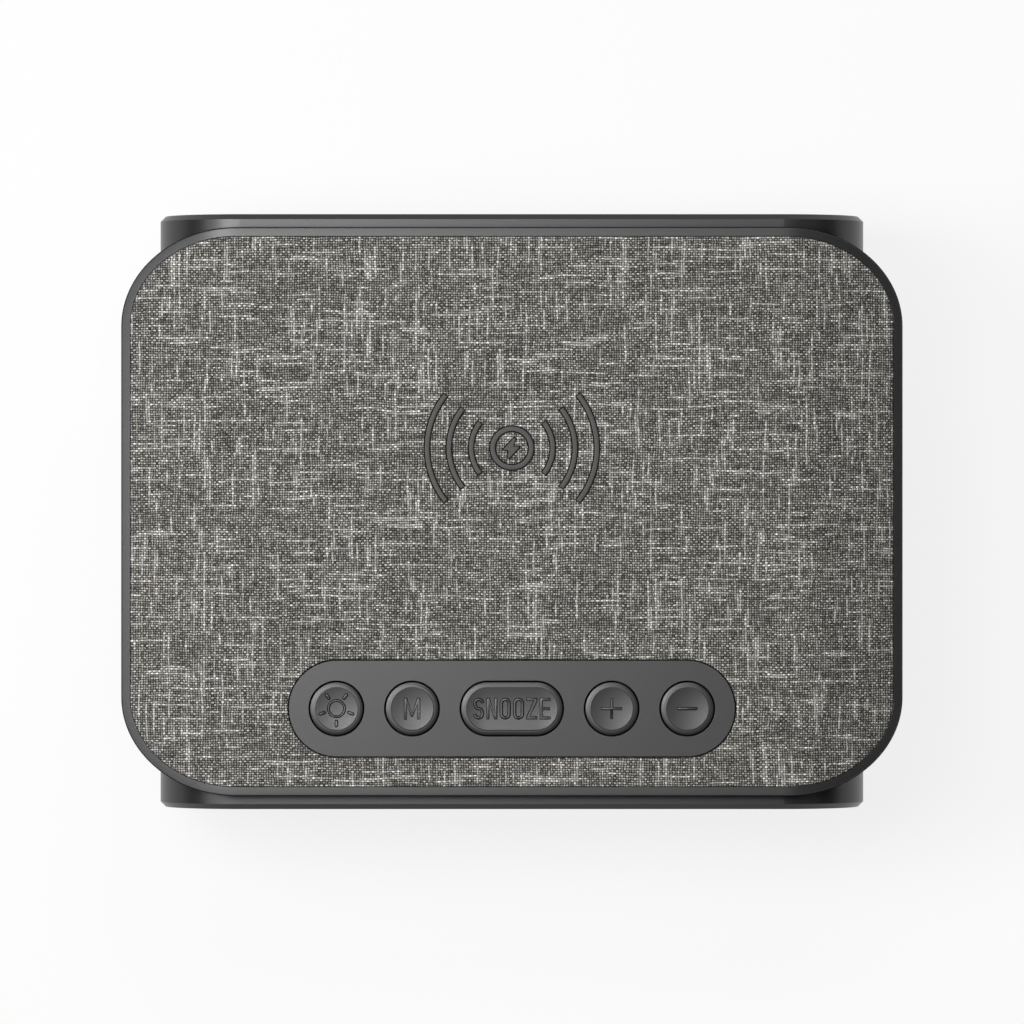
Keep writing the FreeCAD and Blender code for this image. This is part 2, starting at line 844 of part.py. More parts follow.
def make_display_block():
    width = window_width - 2 * display_gap
    height = window_height - 2 * display_gap
    front = lens_rear + segment_thickness
    return block(-width / 2, width / 2, front, display_board_front(), body_middle - height / 2,
                 body_middle + height / 2)


# One bar of a digit, pointed at both ends, lying on X or standing on Z
def make_segment(x, z, length, upright):
    half = length / 2
    tip = segment_width / 2
    outline = [(-half, 0), (-half + tip, tip), (half - tip, tip), (half, 0), (half - tip, -tip),
               (-half + tip, -tip)]
    if upright:
        outline = [(across, along) for along, across in outline]
    points = [Vector(x + dx, lens_rear, z + dz) for dx, dz in outline]
    face = Part.Face(Part.makePolygon(points + points[:1]))
    return face.extrude(Vector(0, segment_thickness, 0))


# Four digits of seven bars each, and the two dots of the colon
def make_digit_segments():
    solids = []
    across = digit_width - segment_width
    half_rise = (digit_height - segment_width) / 2
    for place in range(4):
        side = -1 if place < 2 else 1
        step = place - 1.5
        x = step * digit_pitch + side * (colon_room - segment_width) / 4
        for level in (-1, 0, 1):
            solids.append(make_segment(x, body_middle + level * half_rise, across - 2 * segment_gap, False))
        for bar_side in side_signs:
            for level in side_signs:
                bar_x = x + bar_side * across / 2
                bar_z = body_middle + level * half_rise / 2
                solids.append(make_segment(bar_x, bar_z, half_rise - 2 * segment_gap, True))
    for level in side_signs:
        z = body_middle + level * half_rise / 2
        solids.append(rod_y(0, z, colon_dot_radius, lens_rear, lens_rear + segment_thickness))
    return solids


def make_display_board():
    front = display_board_front()
    rear = front + display_board_thickness
    half_length = display_board_length / 2
    half_height = display_board_height / 2
    board = block(-half_length, half_length, front, rear, body_middle - half_height,
                  body_middle + half_height)
    hole_radius = small_screw_radius + screw_gap
    return without(board, [pilot_y(x, z, hole_radius, front - overrun, rear + overrun) for x,
                           z in display_post_places])


def make_display_screws():
    rear = display_board_front() + display_board_thickness
    length = display_board_thickness + display_block_depth / 2
    return [
        screw_y(x, z, rear, -1, length, small_screw_radius, small_head_radius, small_head_height)
        for x, z in display_post_places
    ]


# Upright slots side by side, each as long as the grille's radius lets it be
def grille_slots():
    reach = int(grille_radius / grille_pitch)
    slots = []
    for place in range(-reach, reach + 1):
        middle = place * grille_pitch
        outer = abs(middle) + grille_slot / 2
        if outer >= grille_radius:
            continue
        half_length = math.sqrt(grille_radius ** 2 - outer ** 2)
        x = -speaker_x + middle
        slots.append(block(x - grille_slot / 2, x + grille_slot / 2, cover_inner - overrun,
                           cover_rear + overrun,
                           body_middle - half_length, body_middle + half_length))
    return slots


# Rear cover: grille, sunk port panel, speaker seat with four bosses, and four corner screw holes
def make_rear_cover():
    cover = body_prism(rim_wall + seat_gap, cover_inner, cover_rear)
    cover = cover.makeChamfer(cover_edge, edges_in_plane(cover, "Y", cover_rear))
    seat = speaker_ring(basket_opening, speaker_outer_radius, seat_face, cover_inner + plane_tolerance)
    bosses = [boss_y(x, z, ear_radius, flange_rear, cover_inner + plane_tolerance) for x, z in ear_places]
    cover = join([cover, seat] + bosses)
    cuts = [rod_y(-speaker_x, body_middle, grille_radius + grille_margin, cover_rear - grille_sunk,
                  cover_rear + overrun)]
    port_z = main_board_top + usb_a_height / 2
    cuts.append(upright_stadium(usb_a_x, port_z, port_recess_length, port_recess_height,
                                cover_rear - port_recess_depth, cover_rear + overrun))
    for x, z in corner_boss_places:
        cuts.append(pilot_y(x, z, screw_radius + screw_pass_gap, cover_inner - overrun, cover_rear + overrun))
        cuts.append(rod_y(x, z, screw_head_radius + screw_pass_gap, cover_rear - screw_head_height,
                          cover_rear + overrun))
    for x, z in ear_places:
        cuts.append(pilot_y(x, z, small_screw_radius + screw_gap, flange_rear - overrun, cover_inner))
    cuts.append(upright_stadium(usb_c_x, main_board_top + usb_c_height / 2, usb_c_width + 2 * port_gap,
                                usb_c_height + 2 * port_gap, cover_inner - overrun, cover_rear + overrun))
    half_width = usb_a_width / 2 + port_gap
    cuts.append(block(usb_a_x - half_width, usb_a_x + half_width, cover_inner - overrun, cover_rear + overrun,
                      main_board_top - port_gap, main_board_top + usb_a_height + port_gap))
    cuts.append(rod_y(jack_x, main_board_top + jack_height / 2, jack_nose_radius + port_gap,
                      cover_inner - overrun, cover_rear + overrun))
    return without(cover, cuts + grille_slots())


# The rear cover's screws show, so their heads are round
def make_cover_screws():
    head_face = cover_rear - screw_head_height
    screws = []
    for x, z in corner_boss_places:
        shank = pilot_y(x, z, screw_radius, cover_inner - screw_bite, head_face)
        screws.append(shank.fuse(rod_y(x, z, screw_head_radius, head_face, cover_rear)))
    return screws


def make_speaker_gasket():
    return speaker_ring(basket_opening, gasket_radius, seat_face - gasket_thickness, seat_face)


# Basket: a drawn can with a shelf for the spider, four ears and four windows in its wall
def make_speaker_basket():
    flange_front = flange_rear - basket_plate
    shelf_front = flange_front - basket_shelf_depth
    floor_rear = basket_base + basket_plate
    shelf_radius = basket_neck_radius - basket_shelf
    points = [
        (basket_opening, flange_rear),
        (speaker_outer_radius, flange_rear),
        (speaker_outer_radius, flange_front),
        (basket_opening + basket_plate, flange_front),
        (basket_opening + basket_plate, shelf_front),
        (shelf_radius + basket_plate, shelf_front),
        (shelf_radius + basket_plate, basket_base),
        (basket_floor_hole, basket_base),
        (basket_floor_hole, floor_rear),
        (shelf_radius, floor_rear),
        (shelf_radius, shelf_front + basket_plate),
        (basket_opening, shelf_front + basket_plate),
    ]
    frame = speaker_turned(points)
    ears = []
    for angle in ear_angles:
        ear = block(basket_opening + basket_plate / 2, ear_circle + ear_radius, flange_front, flange_rear,
                    -ear_radius, ear_radius)
        ears.append(speaker_spun(ear, angle))
    frame = join([frame] + ears)
    cuts = []
    for quarter in range(4):
        window = block(basket_neck_radius + 2 * basket_plate, speaker_outer_radius,
                       shelf_front + basket_plate,
                       flange_front - basket_plate, -basket_window / 2, basket_window / 2)
        cuts.append(speaker_spun(window, 90 * quarter))
    for x, z in ear_places:
        cuts.append(pilot_y(x, z, small_screw_radius + screw_pass_gap, flange_front - overrun,
                            flange_rear + overrun))
    return without(frame, cuts)


# Turns a shape about Y and takes it to the speaker's axis
def speaker_spun(shape, angle):
    shape.rotate(Vector(0, 0, 0), Vector(0, 1, 0), -angle)
    shape.translate(Vector(-speaker_x, 0, body_middle))
    return shape


def make_speaker_screws():
    flange_front = flange_rear - basket_plate
    length = cover_inner - flange_front - screw_gap
    return [
        screw_y(x, z, flange_front, 1, length, small_screw_radius, small_head_radius, small_head_height)
        for x, z in ear_places
    ]


def make_top_plate():
    return speaker_ring(former_radius + winding_thickness + magnet_gap, top_plate_radius,
                        basket_base - top_plate_thickness, basket_base)


def make_magnet():
    rear = basket_base - top_plate_thickness
    return speaker_ring(magnet_hole, magnet_radius, rear - magnet_height, rear)


def make_yoke():
    rear = basket_base - top_plate_thickness - magnet_height
    pole_radius = former_radius - former_wall - magnet_gap
    return speaker_turned([
        (0, rear - yoke_thickness),
        (yoke_radius, rear - yoke_thickness),
        (yoke_radius, rear),
        (pole_radius, rear),
        (pole_radius, basket_base),
        (0, basket_base),
    ])


# Surround: one raised fold between two flat lands
def make_surround():
    fold_middle = basket_opening - surround_roll
    land_outer = fold_middle - surround_roll
    fold_top = flange_rear + surround_roll
    return speaker_turned([
        (land_outer - surround_flat, flange_rear),
        (land_outer, flange_rear),
        (fold_middle, fold_top - surround_thickness),
        (basket_opening, flange_rear),
        (gasket_radius, flange_rear),
        (gasket_radius, flange_rear + surround_thickness),
        (basket_opening, flange_rear + surround_thickness),
        (fold_middle, fold_top),
        (land_outer, flange_rear + surround_thickness),
        (land_outer - surround_flat, flange_rear + surround_thickness),
    ])


# Cone: a paper cone whose rim lies under the surround's inner land
def make_cone():
    rim = basket_opening - 2 * surround_roll
    neck = former_radius + spider_gap
    neck_y = flange_rear - cone_depth
    return speaker_turned([
        (neck, neck_y),
        (rim - surround_flat, flange_rear - cone_thickness),
        (rim, flange_rear),
        (rim - surround_flat, flange_rear),
        (neck, neck_y + cone_thickness),
    ])


# Dust cap: a shallow pressed cap glued to the cone's face
def make_dust_cap():
    neck = former_radius + spider_gap
    slope = (cone_depth - cone_thickness) / (basket_opening - 2 * surround_roll - surround_flat - neck)
    base = flange_rear - cone_depth + cone_thickness + (dust_cap_radius - neck) * slope + spider_gap
    crown = dust_cap_radius / 2
    top = base + dust_cap_height
    return speaker_turned([
        (0, top - cone_thickness),
        (crown, top - cone_thickness),
        (dust_cap_radius - cone_thickness, base),
        (dust_cap_radius, base),
        (crown, top),
        (0, top),
    ])


def make_voice_coil():
    plate_middle = basket_base - top_plate_thickness / 2
    top = flange_rear - cone_depth + cone_thickness
    former = speaker_ring(former_radius - former_wall, former_radius, top - former_length, top)
    winding = speaker_ring(former_radius - plane_tolerance, former_radius + winding_thickness,
                           plate_middle - winding_length / 2, plate_middle + winding_length / 2)
    return join([former, winding])


def make_spider():
    shelf_rear = flange_rear - basket_shelf_depth
    return speaker_ring(former_radius + spider_gap, basket_neck_radius - spider_gap, shelf_rear,
                        shelf_rear + spider_thickness)


def make_main_board():
    front = main_board_rear - main_board_length
    right = main_board_left + main_board_width
    board = block(main_board_left, right, front, main_board_rear, main_board_bottom, main_board_top)
    hole_radius = small_screw_radius + screw_gap
    return without(board, [pilot_z(x, y, hole_radius, main_board_bottom - overrun, main_board_top + overrun)
                           for x, y in main_post_places])


def make_main_screws():
    length = main_board_thickness + main_post_height - screw_gap
    return [
        screw_z(x, y, main_board_top, -1, length, small_screw_radius, small_head_radius, small_head_height)
        for x, y in main_post_places
    ]


# Chips and two upright cans stand on the main board
def make_main_parts():
    front = main_board_rear - main_board_length
    solids = []
    for x_share, y_share, length_share, width_share in main_chip_shares:
        x = main_board_left + x_share * main_board_width
        y = front + y_share * main_board_length
        solids.append(standing_block(x, y, length_share * main_board_width, width_share * main_board_length,
                                     main_board_top, main_board_top + chip_height))
    for x_share, y_share in main_can_shares:
        x = main_board_left + x_share * main_board_width
        y = front + y_share * main_board_length
        solids.append(rod_z(x, y, can_radius, main_board_top, main_board_top + can_height))
    return solids


def make_usb_c_socket():
    mouth = cover_rear - port_recess_depth - socket_sunk
    back = mouth - usb_c_depth
    z = main_board_top + usb_c_height / 2
    can = upright_stadium(usb_c_x, z, usb_c_width, usb_c_height, back, mouth)
    room = upright_stadium(usb_c_x, z, usb_c_width - 2 * socket_wall, usb_c_height - 2 * socket_wall,
                           back + tongue_back, mouth + overrun)
    half_width = usb_c_tongue_width / 2
    half_height = usb_c_tongue_height / 2
    tongue = block(usb_c_x - half_width, usb_c_x + half_width, back + tongue_back - plane_tolerance,
                   mouth - tongue_back, z - half_height, z + half_height)
    return join([without(can, [room]), tongue])


def make_usb_a_socket():
    mouth = cover_rear - port_recess_depth - socket_sunk
    back = mouth - usb_a_depth
    half_width = usb_a_width / 2
    can = block(usb_a_x - half_width, usb_a_x + half_width, back, mouth, main_board_top,
                main_board_top + usb_a_height)
    half_room = half_width - socket_wall
    room = block(usb_a_x - half_room, usb_a_x + half_room, back + tongue_back, mouth + overrun,
                 main_board_top + socket_wall, main_board_top + usb_a_height - socket_wall)
    tongue_top = main_board_top + usb_a_height - usb_a_tongue_inset
    half_tongue = usb_a_tongue_width / 2
    tongue = block(usb_a_x - half_tongue, usb_a_x + half_tongue, back + tongue_back - plane_tolerance,
                   mouth - tongue_back, tongue_top - usb_a_tongue_height, tongue_top)
    return join([without(can, [room]), tongue])


# Audio jack: a moulded body on the board, with a round nose that fills the cover's hole
def make_audio_jack():
    nose_end = cover_rear - port_recess_depth
    body_end = cover_inner - socket_sunk
    z = main_board_top + jack_height / 2
    body = standing_block(jack_x, body_end - jack_depth / 2, jack_width, jack_depth,
                          main_board_top, main_board_top + jack_height)
    nose = rod_y(jack_x, z, jack_nose_radius, body_end - plane_tolerance, nose_end)
    bore = rod_y(jack_x, z, jack_bore_radius, nose_end - jack_bore_length, nose_end + overrun)
    return without(join([body, nose]), [bore])


# Cell holder: a cap over the cell on the floor of the body, closed from below by the cover
def make_cell_holder():
    outer = rod_z(-cell_x, -cell_y, cell_radius + cell_gap + holder_wall, inner_bottom,
                  contact_top + holder_top)
    return without(outer, [rod_z(-cell_x, -cell_y, cell_radius + cell_gap, inner_bottom - overrun,
                                 contact_top)])


def make_backup_cell():
    return rod_z(-cell_x, -cell_y, cell_radius, cell_bottom, cell_top)


def make_cell_contact():
    return standing_block(-cell_x, -cell_y, contact_length, contact_width, cell_top, contact_top)


def make_cell_cover():
    cover = rounded_plate(cell_cover_length, cell_cover_width, cell_cover_corner, cell_cover_corner,
                          body_bottom, body_bottom + cell_cover_thickness)
    cover.translate(Vector(cell_cover_x, -cell_y, 0))
    head_room = small_head_height
    cuts = [
        rod_z(cell_screw_x, -cell_y, small_head_radius + screw_pass_gap, body_bottom - overrun,
              body_bottom + head_room),
        pilot_z(cell_screw_x, -cell_y, small_screw_radius + screw_gap, body_bottom,
                body_bottom + cell_cover_thickness),
    ]
    return without(cover, cuts)


def make_cell_screw():
    head_top = body_bottom + small_head_height
    shank = pilot_z(cell_screw_x, -cell_y, small_screw_radius, head_top, inner_bottom)
    return shank.fuse(rod_z(cell_screw_x, -cell_y, small_head_radius, body_bottom, head_top))


# Every node by name; a list is a group of separate solids
nodes = {
    "body_shell": make_body_shell(),
    "feet": make_feet(),
    "tray_frame": make_tray_frame(),
    "fabric_board": make_fabric_board(),
    "fabric_cover": make_fabric_cover(),
    "button_pad": make_button_pad(),
    "key_board": make_key_board(),
    "board_screws": make_key_screws() + make_charger_screws() + make_display_screws() + make_main_screws(),
    "tray_screws": make_tray_screws(),
    "charging_coil": make_charging_coil(),
    "ferrite_sheet": make_ferrite_sheet(),
    "charger_board": make_charger_board(),
    "charger_board_parts": make_charger_parts(),
    "front_lens": make_front_lens(),
    "display_frame": make_display_frame(),
    "display_block": make_display_block(),
    "digit_segments": make_digit_segments(),
    "display_board": make_display_board(),
    "rear_cover": make_rear_cover(),
    "rear_cover_screws": make_cover_screws(),
    "speaker_gasket": make_speaker_gasket(),
    "speaker_basket": make_speaker_basket(),
    "speaker_screws": make_speaker_screws(),
    "speaker_top_plate": make_top_plate(),
    "speaker_magnet": make_magnet(),
    "speaker_yoke": make_yoke(),
    "speaker_surround": make_surround(),
    "speaker_spider": make_spider(),
    "speaker_cone": make_cone(),
    "dust_cap": make_dust_cap(),
    "voice_coil": make_voice_coil(),
    "main_board": make_main_board(),
    "main_board_parts": make_main_parts(),
    "usb_c_socket": make_usb_c_socket(),
    "usb_a_socket": make_usb_a_socket(),
    "audio_jack": make_audio_jack(),
    "cell_holder": make_cell_holder(),
    "backup_cell": make_backup_cell(),
    "cell_contact": make_cell_contact(),
    "cell_cover": make_cell_cover(),
    "cell_cover_screw": make_cell_screw(),
}
for cap_name, cap_x in cap_centres.items():
    nodes[f"{cap_name}_button"] = make_button(cap_name)
    nodes[f"{cap_name}_switch"] = make_switch(cap_x)
    nodes[f"{cap_name}_plunger"] = make_plunger(cap_x)

os.makedirs("parts", exist_ok=True)
for node_name, made in nodes.items():
    shape = Part.makeCompound(made) if isinstance(made, list) else made
    for solid in shape.Solids:
        if not solid.isValid():
            print("not valid:", node_name)
    shape.exportStep(f"parts/{node_name}.step")
    print(node_name, "solids", len(shape.Solids), "volume", round(shape.Volume, 1))
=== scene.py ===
import json
import math
import bmesh
import bpy
from mathutils import Matrix, Vector


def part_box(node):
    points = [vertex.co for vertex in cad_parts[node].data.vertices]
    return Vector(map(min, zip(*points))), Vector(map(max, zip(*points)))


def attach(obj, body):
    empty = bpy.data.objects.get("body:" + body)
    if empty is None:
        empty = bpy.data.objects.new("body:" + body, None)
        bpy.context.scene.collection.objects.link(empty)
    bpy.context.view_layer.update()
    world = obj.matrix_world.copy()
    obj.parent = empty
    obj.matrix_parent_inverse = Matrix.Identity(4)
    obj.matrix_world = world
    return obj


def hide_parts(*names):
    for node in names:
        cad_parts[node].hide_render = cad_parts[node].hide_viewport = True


# An alarm clock speaker seen from straight above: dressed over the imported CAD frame, in metres

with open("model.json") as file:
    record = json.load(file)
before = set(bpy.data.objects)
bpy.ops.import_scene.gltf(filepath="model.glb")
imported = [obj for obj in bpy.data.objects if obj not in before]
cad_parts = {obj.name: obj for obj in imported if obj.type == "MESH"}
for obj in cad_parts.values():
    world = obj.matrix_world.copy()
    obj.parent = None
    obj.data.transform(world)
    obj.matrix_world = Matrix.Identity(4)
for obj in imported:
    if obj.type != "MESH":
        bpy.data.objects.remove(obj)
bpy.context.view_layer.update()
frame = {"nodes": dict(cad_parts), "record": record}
nodes = frame["nodes"]
mm = 0.001
tiny = 1e-7  # metres: points nearer than this are one
print("frame loaded:", len(nodes), "nodes")


# Small helpers

def hexColour(code):  # sRGB hex to the linear colour that sockets take
    parts = [int(code[i:i + 2], 16) / 255 for i in (1, 3, 5)]
    linear = [p / 12.92 if p <= 0.04045 else ((p + 0.055) / 1.055) ** 2.4 for p in parts]
    return (*linear, 1.0)


def addNode(tree, kind, settings=None, values=None, links=None):  # one shader node, ready and wired
    node = tree.nodes.new("ShaderNode" + kind)
    for name, value in (settings or {}).items():
        setattr(node, name, value)
    for socket, value in (values or {}).items():
        node.inputs[socket].default_value = value
    for socket, source in (links or {}).items():
        tree.links.new(source, node.inputs[socket])
    return node


def newMaterial(name):  # the material, its tree and its shader
    material = bpy.data.materials.new(name)
    material.use_nodes = True
    tree = material.node_tree
    return material, tree, tree.nodes["Principled BSDF"]


def meshPiece(name, verts, faces, material, smooth=True):
    mesh = bpy.data.meshes.new(name)
    mesh.from_pydata([tuple(v) for v in verts], [], faces)
    mesh.validate()
    piece = bpy.data.objects.new(name, mesh)
    bpy.context.scene.collection.objects.link(piece)
    finishMesh(piece, material, smooth)
    return piece


def finishMesh(piece, material, smooth=True, sharpDeg=40):  # normals out, shading set, material on
    body = bmesh.new()
    body.from_mesh(piece.data)
    bmesh.ops.remove_doubles(body, verts=body.verts, dist=tiny)
    bmesh.ops.recalc_face_normals(body, faces=body.faces)
    body.to_mesh(piece.data)
    body.free()
    for face in piece.data.polygons:
        face.use_smooth = smooth
    if smooth:
        piece.data.set_sharp_from_angle(angle=math.radians(sharpDeg))
    piece.data.materials.clear()
    piece.data.materials.append(material)


def evenNormals(piece):  # flat faces stay flat to the light and only the rounded edges turn
    weights = piece.modifiers.new("weights", "WEIGHTED_NORMAL")
    weights.keep_sharp = True
    weights.weight = 100


def bridgeRings(rings):  # loops of equal length joined by quads
    count = len(rings[0])
    verts = [point for ring in rings for point in ring]
    faces = []
    for r in range(len(rings) - 1):
        for i in range(count):
            j = (i + 1) % count
            faces.append((r * count + i, r * count + j, (r + 1) * count + j, (r + 1) * count + i))
    return verts, faces


def roundedStep(start, end, corner, steps=5):  # quarter round from start to end about a corner point
    points = []
    for i in range(steps + 1):
        a = math.pi / 2 * i / steps
        u = math.sin(a)
        v = 1 - math.cos(a)
        points.append(tuple(s + (c - s) * u + (e - c) * v for s, c, e in zip(start, corner, end)))
    return points


# Materials

# a mould's real grain and the lines of drawn metal are under 0.1 mm, too fine to show: both are drawn coarser
plastics = {  # colour and its lighter mottle, roughness, grain in mm, strength of the bump
    # satin ABS from a fine spark-eroded mould: dark, with soft wide highlights
    "absSatinBlackMoulded": dict(colour="#1c1c1d", lighter="#232324", rough=0.34, grain=0.22, bump=0.05),
    # the tray's ABS is a shade greyer than the body's, lifted further as painted light so that its flat rim
    # shows lit
    "absSatinTrayMoulded": dict(colour="#242425", lighter="#2c2c2d", rough=0.35, grain=0.22, bump=0.05),
    # the keypad's ABS has a fine even grain that spreads its highlight
    "absKeypadMoulded": dict(colour="#1f1f20", lighter="#262627", rough=0.39, grain=0.20, bump=0.06),
    # the caps' ABS, as grey as the tray, so that each dish catches the light; below the top the caps are
    # black with painted shade
    "absKeycapMoulded": dict(colour="#242425", lighter="#2c2c2d", rough=0.36, grain=0.20, bump=0.05),
    # the rear cover's ABS, eroded more coarsely to hide handling: dull and even
    "absRearErodedBlack": dict(colour="#1a1a1b", lighter="#222223", rough=0.55, grain=0.45, bump=0.25),
    # matt ABS that blacks out the view round the display
    "absMattBlackMoulded": dict(colour="#101010", lighter="#161616", rough=0.7, grain=0.4, bump=0.15),
    # hard pressed fibre board: dull, with a faint brown cast
    "fibreboardPressedBlack": dict(colour="#1b1a19", lighter="#262422", rough=0.9, grain=0.6, bump=0.4),
    # solid moulded rubber: dull with a dusty lighter cast
    "rubberMouldedBlack": dict(colour="#161616", lighter="#222222", rough=0.8, grain=0.5, bump=0.3),
    # filled epoxy round a chip or a socket: flat black
    "epoxyMouldedBlack": dict(colour="#141414", lighter="#1c1c1c", rough=0.6, grain=0.3, bump=0.2),
    # sintered ferrite: dark grey and gritty
    "ferriteSinteredGrey": dict(colour="#303134", lighter="#3c3d40", rough=0.7, grain=0.8, bump=0.4),
    # coated paper pulp: near-black and fibrous
    "paperConeCoated": dict(colour="#17171a", lighter="#232328", rough=0.75, grain=0.9, bump=0.5),
    # closed-cell foam: the dullest black, pitted
    "foamClosedCell": dict(colour="#151515", lighter="#212121", rough=0.95, grain=0.5, bump=0.8),
    # moulded acetal: a waxy off-white
    "acetalMouldedWhite": dict(colour="#d8d6cf", lighter="#e6e4de", rough=0.45, grain=0.3, bump=0.05),
    # milky acrylic of the segments: pale grey while unlit
    "diffuserMilkyAcrylic": dict(colour="#b9b8b2", lighter="#cfcec8", rough=0.35, grain=0.3, bump=0.02),
    # cotton dipped in resin: dull amber cloth
    "spiderClothResined": dict(colour="#8b6c3a", lighter="#a98650", rough=0.85, grain=0.5, bump=0.7),
    # solder mask over copper: half-gloss green, patchy where tracks lie under it
    "solderMaskGreen": dict(colour="#0e4a2c", lighter="#1a6a3f", rough=0.35, grain=1.6, bump=0.15),
}
mould = {"mottle": 9.0, "spread": 0.03, "depth": 0.02, "ior": 1.5}  # mm, roughness either way, mm of relief

metals = {  # colour and its darker lines, roughness, width of a line in mm
    # zinc plated steel: bright grey with fine drawn lines
    "steelZincPlated": dict(colour="#a9abae", darker="#8d8f93", rough=0.34, line=0.12),
    # nickel plated steel: warmer and smoother than zinc
    "steelNickelPlated": dict(colour="#c2c0ba", darker="#a7a59f", rough=0.22, line=0.10),
    # steel blackened in an oxide bath: near-black with a faint sheen
    "steelBlackOxide": dict(colour="#2c2c2e", darker="#1e1e20", rough=0.42, line=0.15),
    # copper wire under clear enamel: orange brown, half gloss
    "copperEnamelledWire": dict(colour="#b5652f", darker="#8a4520", rough=0.3, line=0.2),
    # rolled brass strip: dull gold, lined along the roll
    "brassSpringStrip": dict(colour="#b99a55", darker="#97793c", rough=0.3, line=0.12),
}
drawn = {"stretch": (1.0, 0.08, 1.0), "spread": 0.06}  # the lines run along Y

# painted shade's look: two near-black tints, roughness either way, mm across a blotch, specular level
shadeLook = {"tints": ("#060606", "#1a1a1a"), "rough": (0.7, 0.9), "blotch": 0.6, "specular": 0.15}
ink = {"tints": ("#3a3a37", "#444440"), "rough": 0.6, "weave": 0.5, "relief": (0.15, 0.05)}
lens = {"colour": "#8a8c90", "clear": 0.97, "ior": 1.49, "rough": (0.02, 0.05), "haze": 30.0}


def mottleLook(tree, shader, place, size, detail, tints=None, rough=None, relief=None):
    # patches of this many mm: they tint, vary the roughness, and raise the surface by a strength and mm
    values = {"Scale": 1 / (size * mm), "Detail": detail}
    level = addNode(tree, "TexNoise", values=values, links={"Vector": place}).outputs["Fac"]
    if tints:
        colour = addNode(tree, "Mix", {"data_type": "RGBA"}, links={"Factor": level})
        for socket, code in zip("AB", tints):
            colour.inputs[socket].default_value = hexColour(code)
        tree.links.new(colour.outputs["Result"], shader.inputs["Base Color"])
    if rough:
        values = {"To Min": rough[0], "To Max": rough[1]}
        spread = addNode(tree, "MapRange", values=values, links={"Value": level})
        tree.links.new(spread.outputs["Result"], shader.inputs["Roughness"])
    if relief:
        values = {"Strength": relief[0], "Distance": relief[1] * mm}
        bump = addNode(tree, "Bump", values=values, links={"Height": level})
        tree.links.new(bump.outputs["Normal"], shader.inputs["Normal"])


def plasticMaterial(name, look):  # moulded: a soft mottle in the colour and a grain from the mould's surface
    material, tree, shader = newMaterial(name)
    place = addNode(tree, "TexCoord").outputs["Object"]
    mottleLook(tree, shader, place, mould["mottle"], 3.0, (look["colour"], look["lighter"]))
    mottleLook(tree, shader, place, look["grain"], 2.0,
               rough=(look["rough"] - mould["spread"], look["rough"] + mould["spread"]),
               relief=(look["bump"], mould["depth"]))
    shader.inputs["IOR"].default_value = mould["ior"]
    return material


def metalMaterial(name, look):  # plated or drawn: fine lines along the piece
    material, tree, shader = newMaterial(name)
    place = addNode(tree, "TexCoord").outputs["Object"]
    stretched = addNode(tree, "Mapping", values={"Scale": drawn["stretch"]}, links={"Vector": place})
    mottleLook(tree, shader, stretched.outputs["Vector"], look["line"], 3.0, (look["colour"], look["darker"]),
               (look["rough"] - drawn["spread"], look["rough"] + drawn["spread"]))
    shader.inputs["Metallic"].default_value = 1.0
    return material


weave = {
    "warpPitch": 0.49, "weftPitch": 0.455,  # mm between threads
    "warpSeed": 3.7, "weftSeed": 91.3, "lane": 7.31,  # where each set, and each thread in it, reads its noise
    "run": 24.0, "noiseRough": 0.55,  # threads along which one thread keeps its shade, and how unevenly
    "dark": 0.34, "mid": 0.46, "slub": 0.62,  # noise levels of the shades, the last near-white
    "slubSoft": 0.02,
    "thick": (-0.02, 0.04),  # levels about the slub's between which a thread thickens
    "under": 0.85,  # how much of a thick slub shows where it dives under a thread
    "twistRun": 0.6,  # threads along which the fibres' own shade changes
    "twist": (0.78, 1.18),  # how dark and how bright that makes a thread
    "twistLevels": (0.25, 0.75),
    "speckle": (0.4, 1.45),  # how dark and how bright single crossings are
    "valley": 0.4,  # how much darker, as painted shade, the crossings are where the warp lies on top
    "gap": 2.6,  # higher makes the painted shade between the threads wider
    "dash": 0.3,  # lower makes each thread's visible dash longer
    "fill": 0.34,  # how full a slub lies where the gaps would be
    "wander": 0.35, "wanderOver": 8.0,  # mm that a thread strays, and over what length
    "jitter": 0.14, "jitterOver": 0.7,
    "bump": 0.8, "depth": 0.12,  # strength and mm of relief
    "rough": 0.88, "sheen": 0.15, "specular": 0.3,
}
# gap is the painted shade between the threads and on their rounded sides
weaveColours = {"dark": "#9c9993", "mid": "#c5c2ba", "light": "#d8d4cb", "slub": "#fffdf6", "gap": "#020202"}


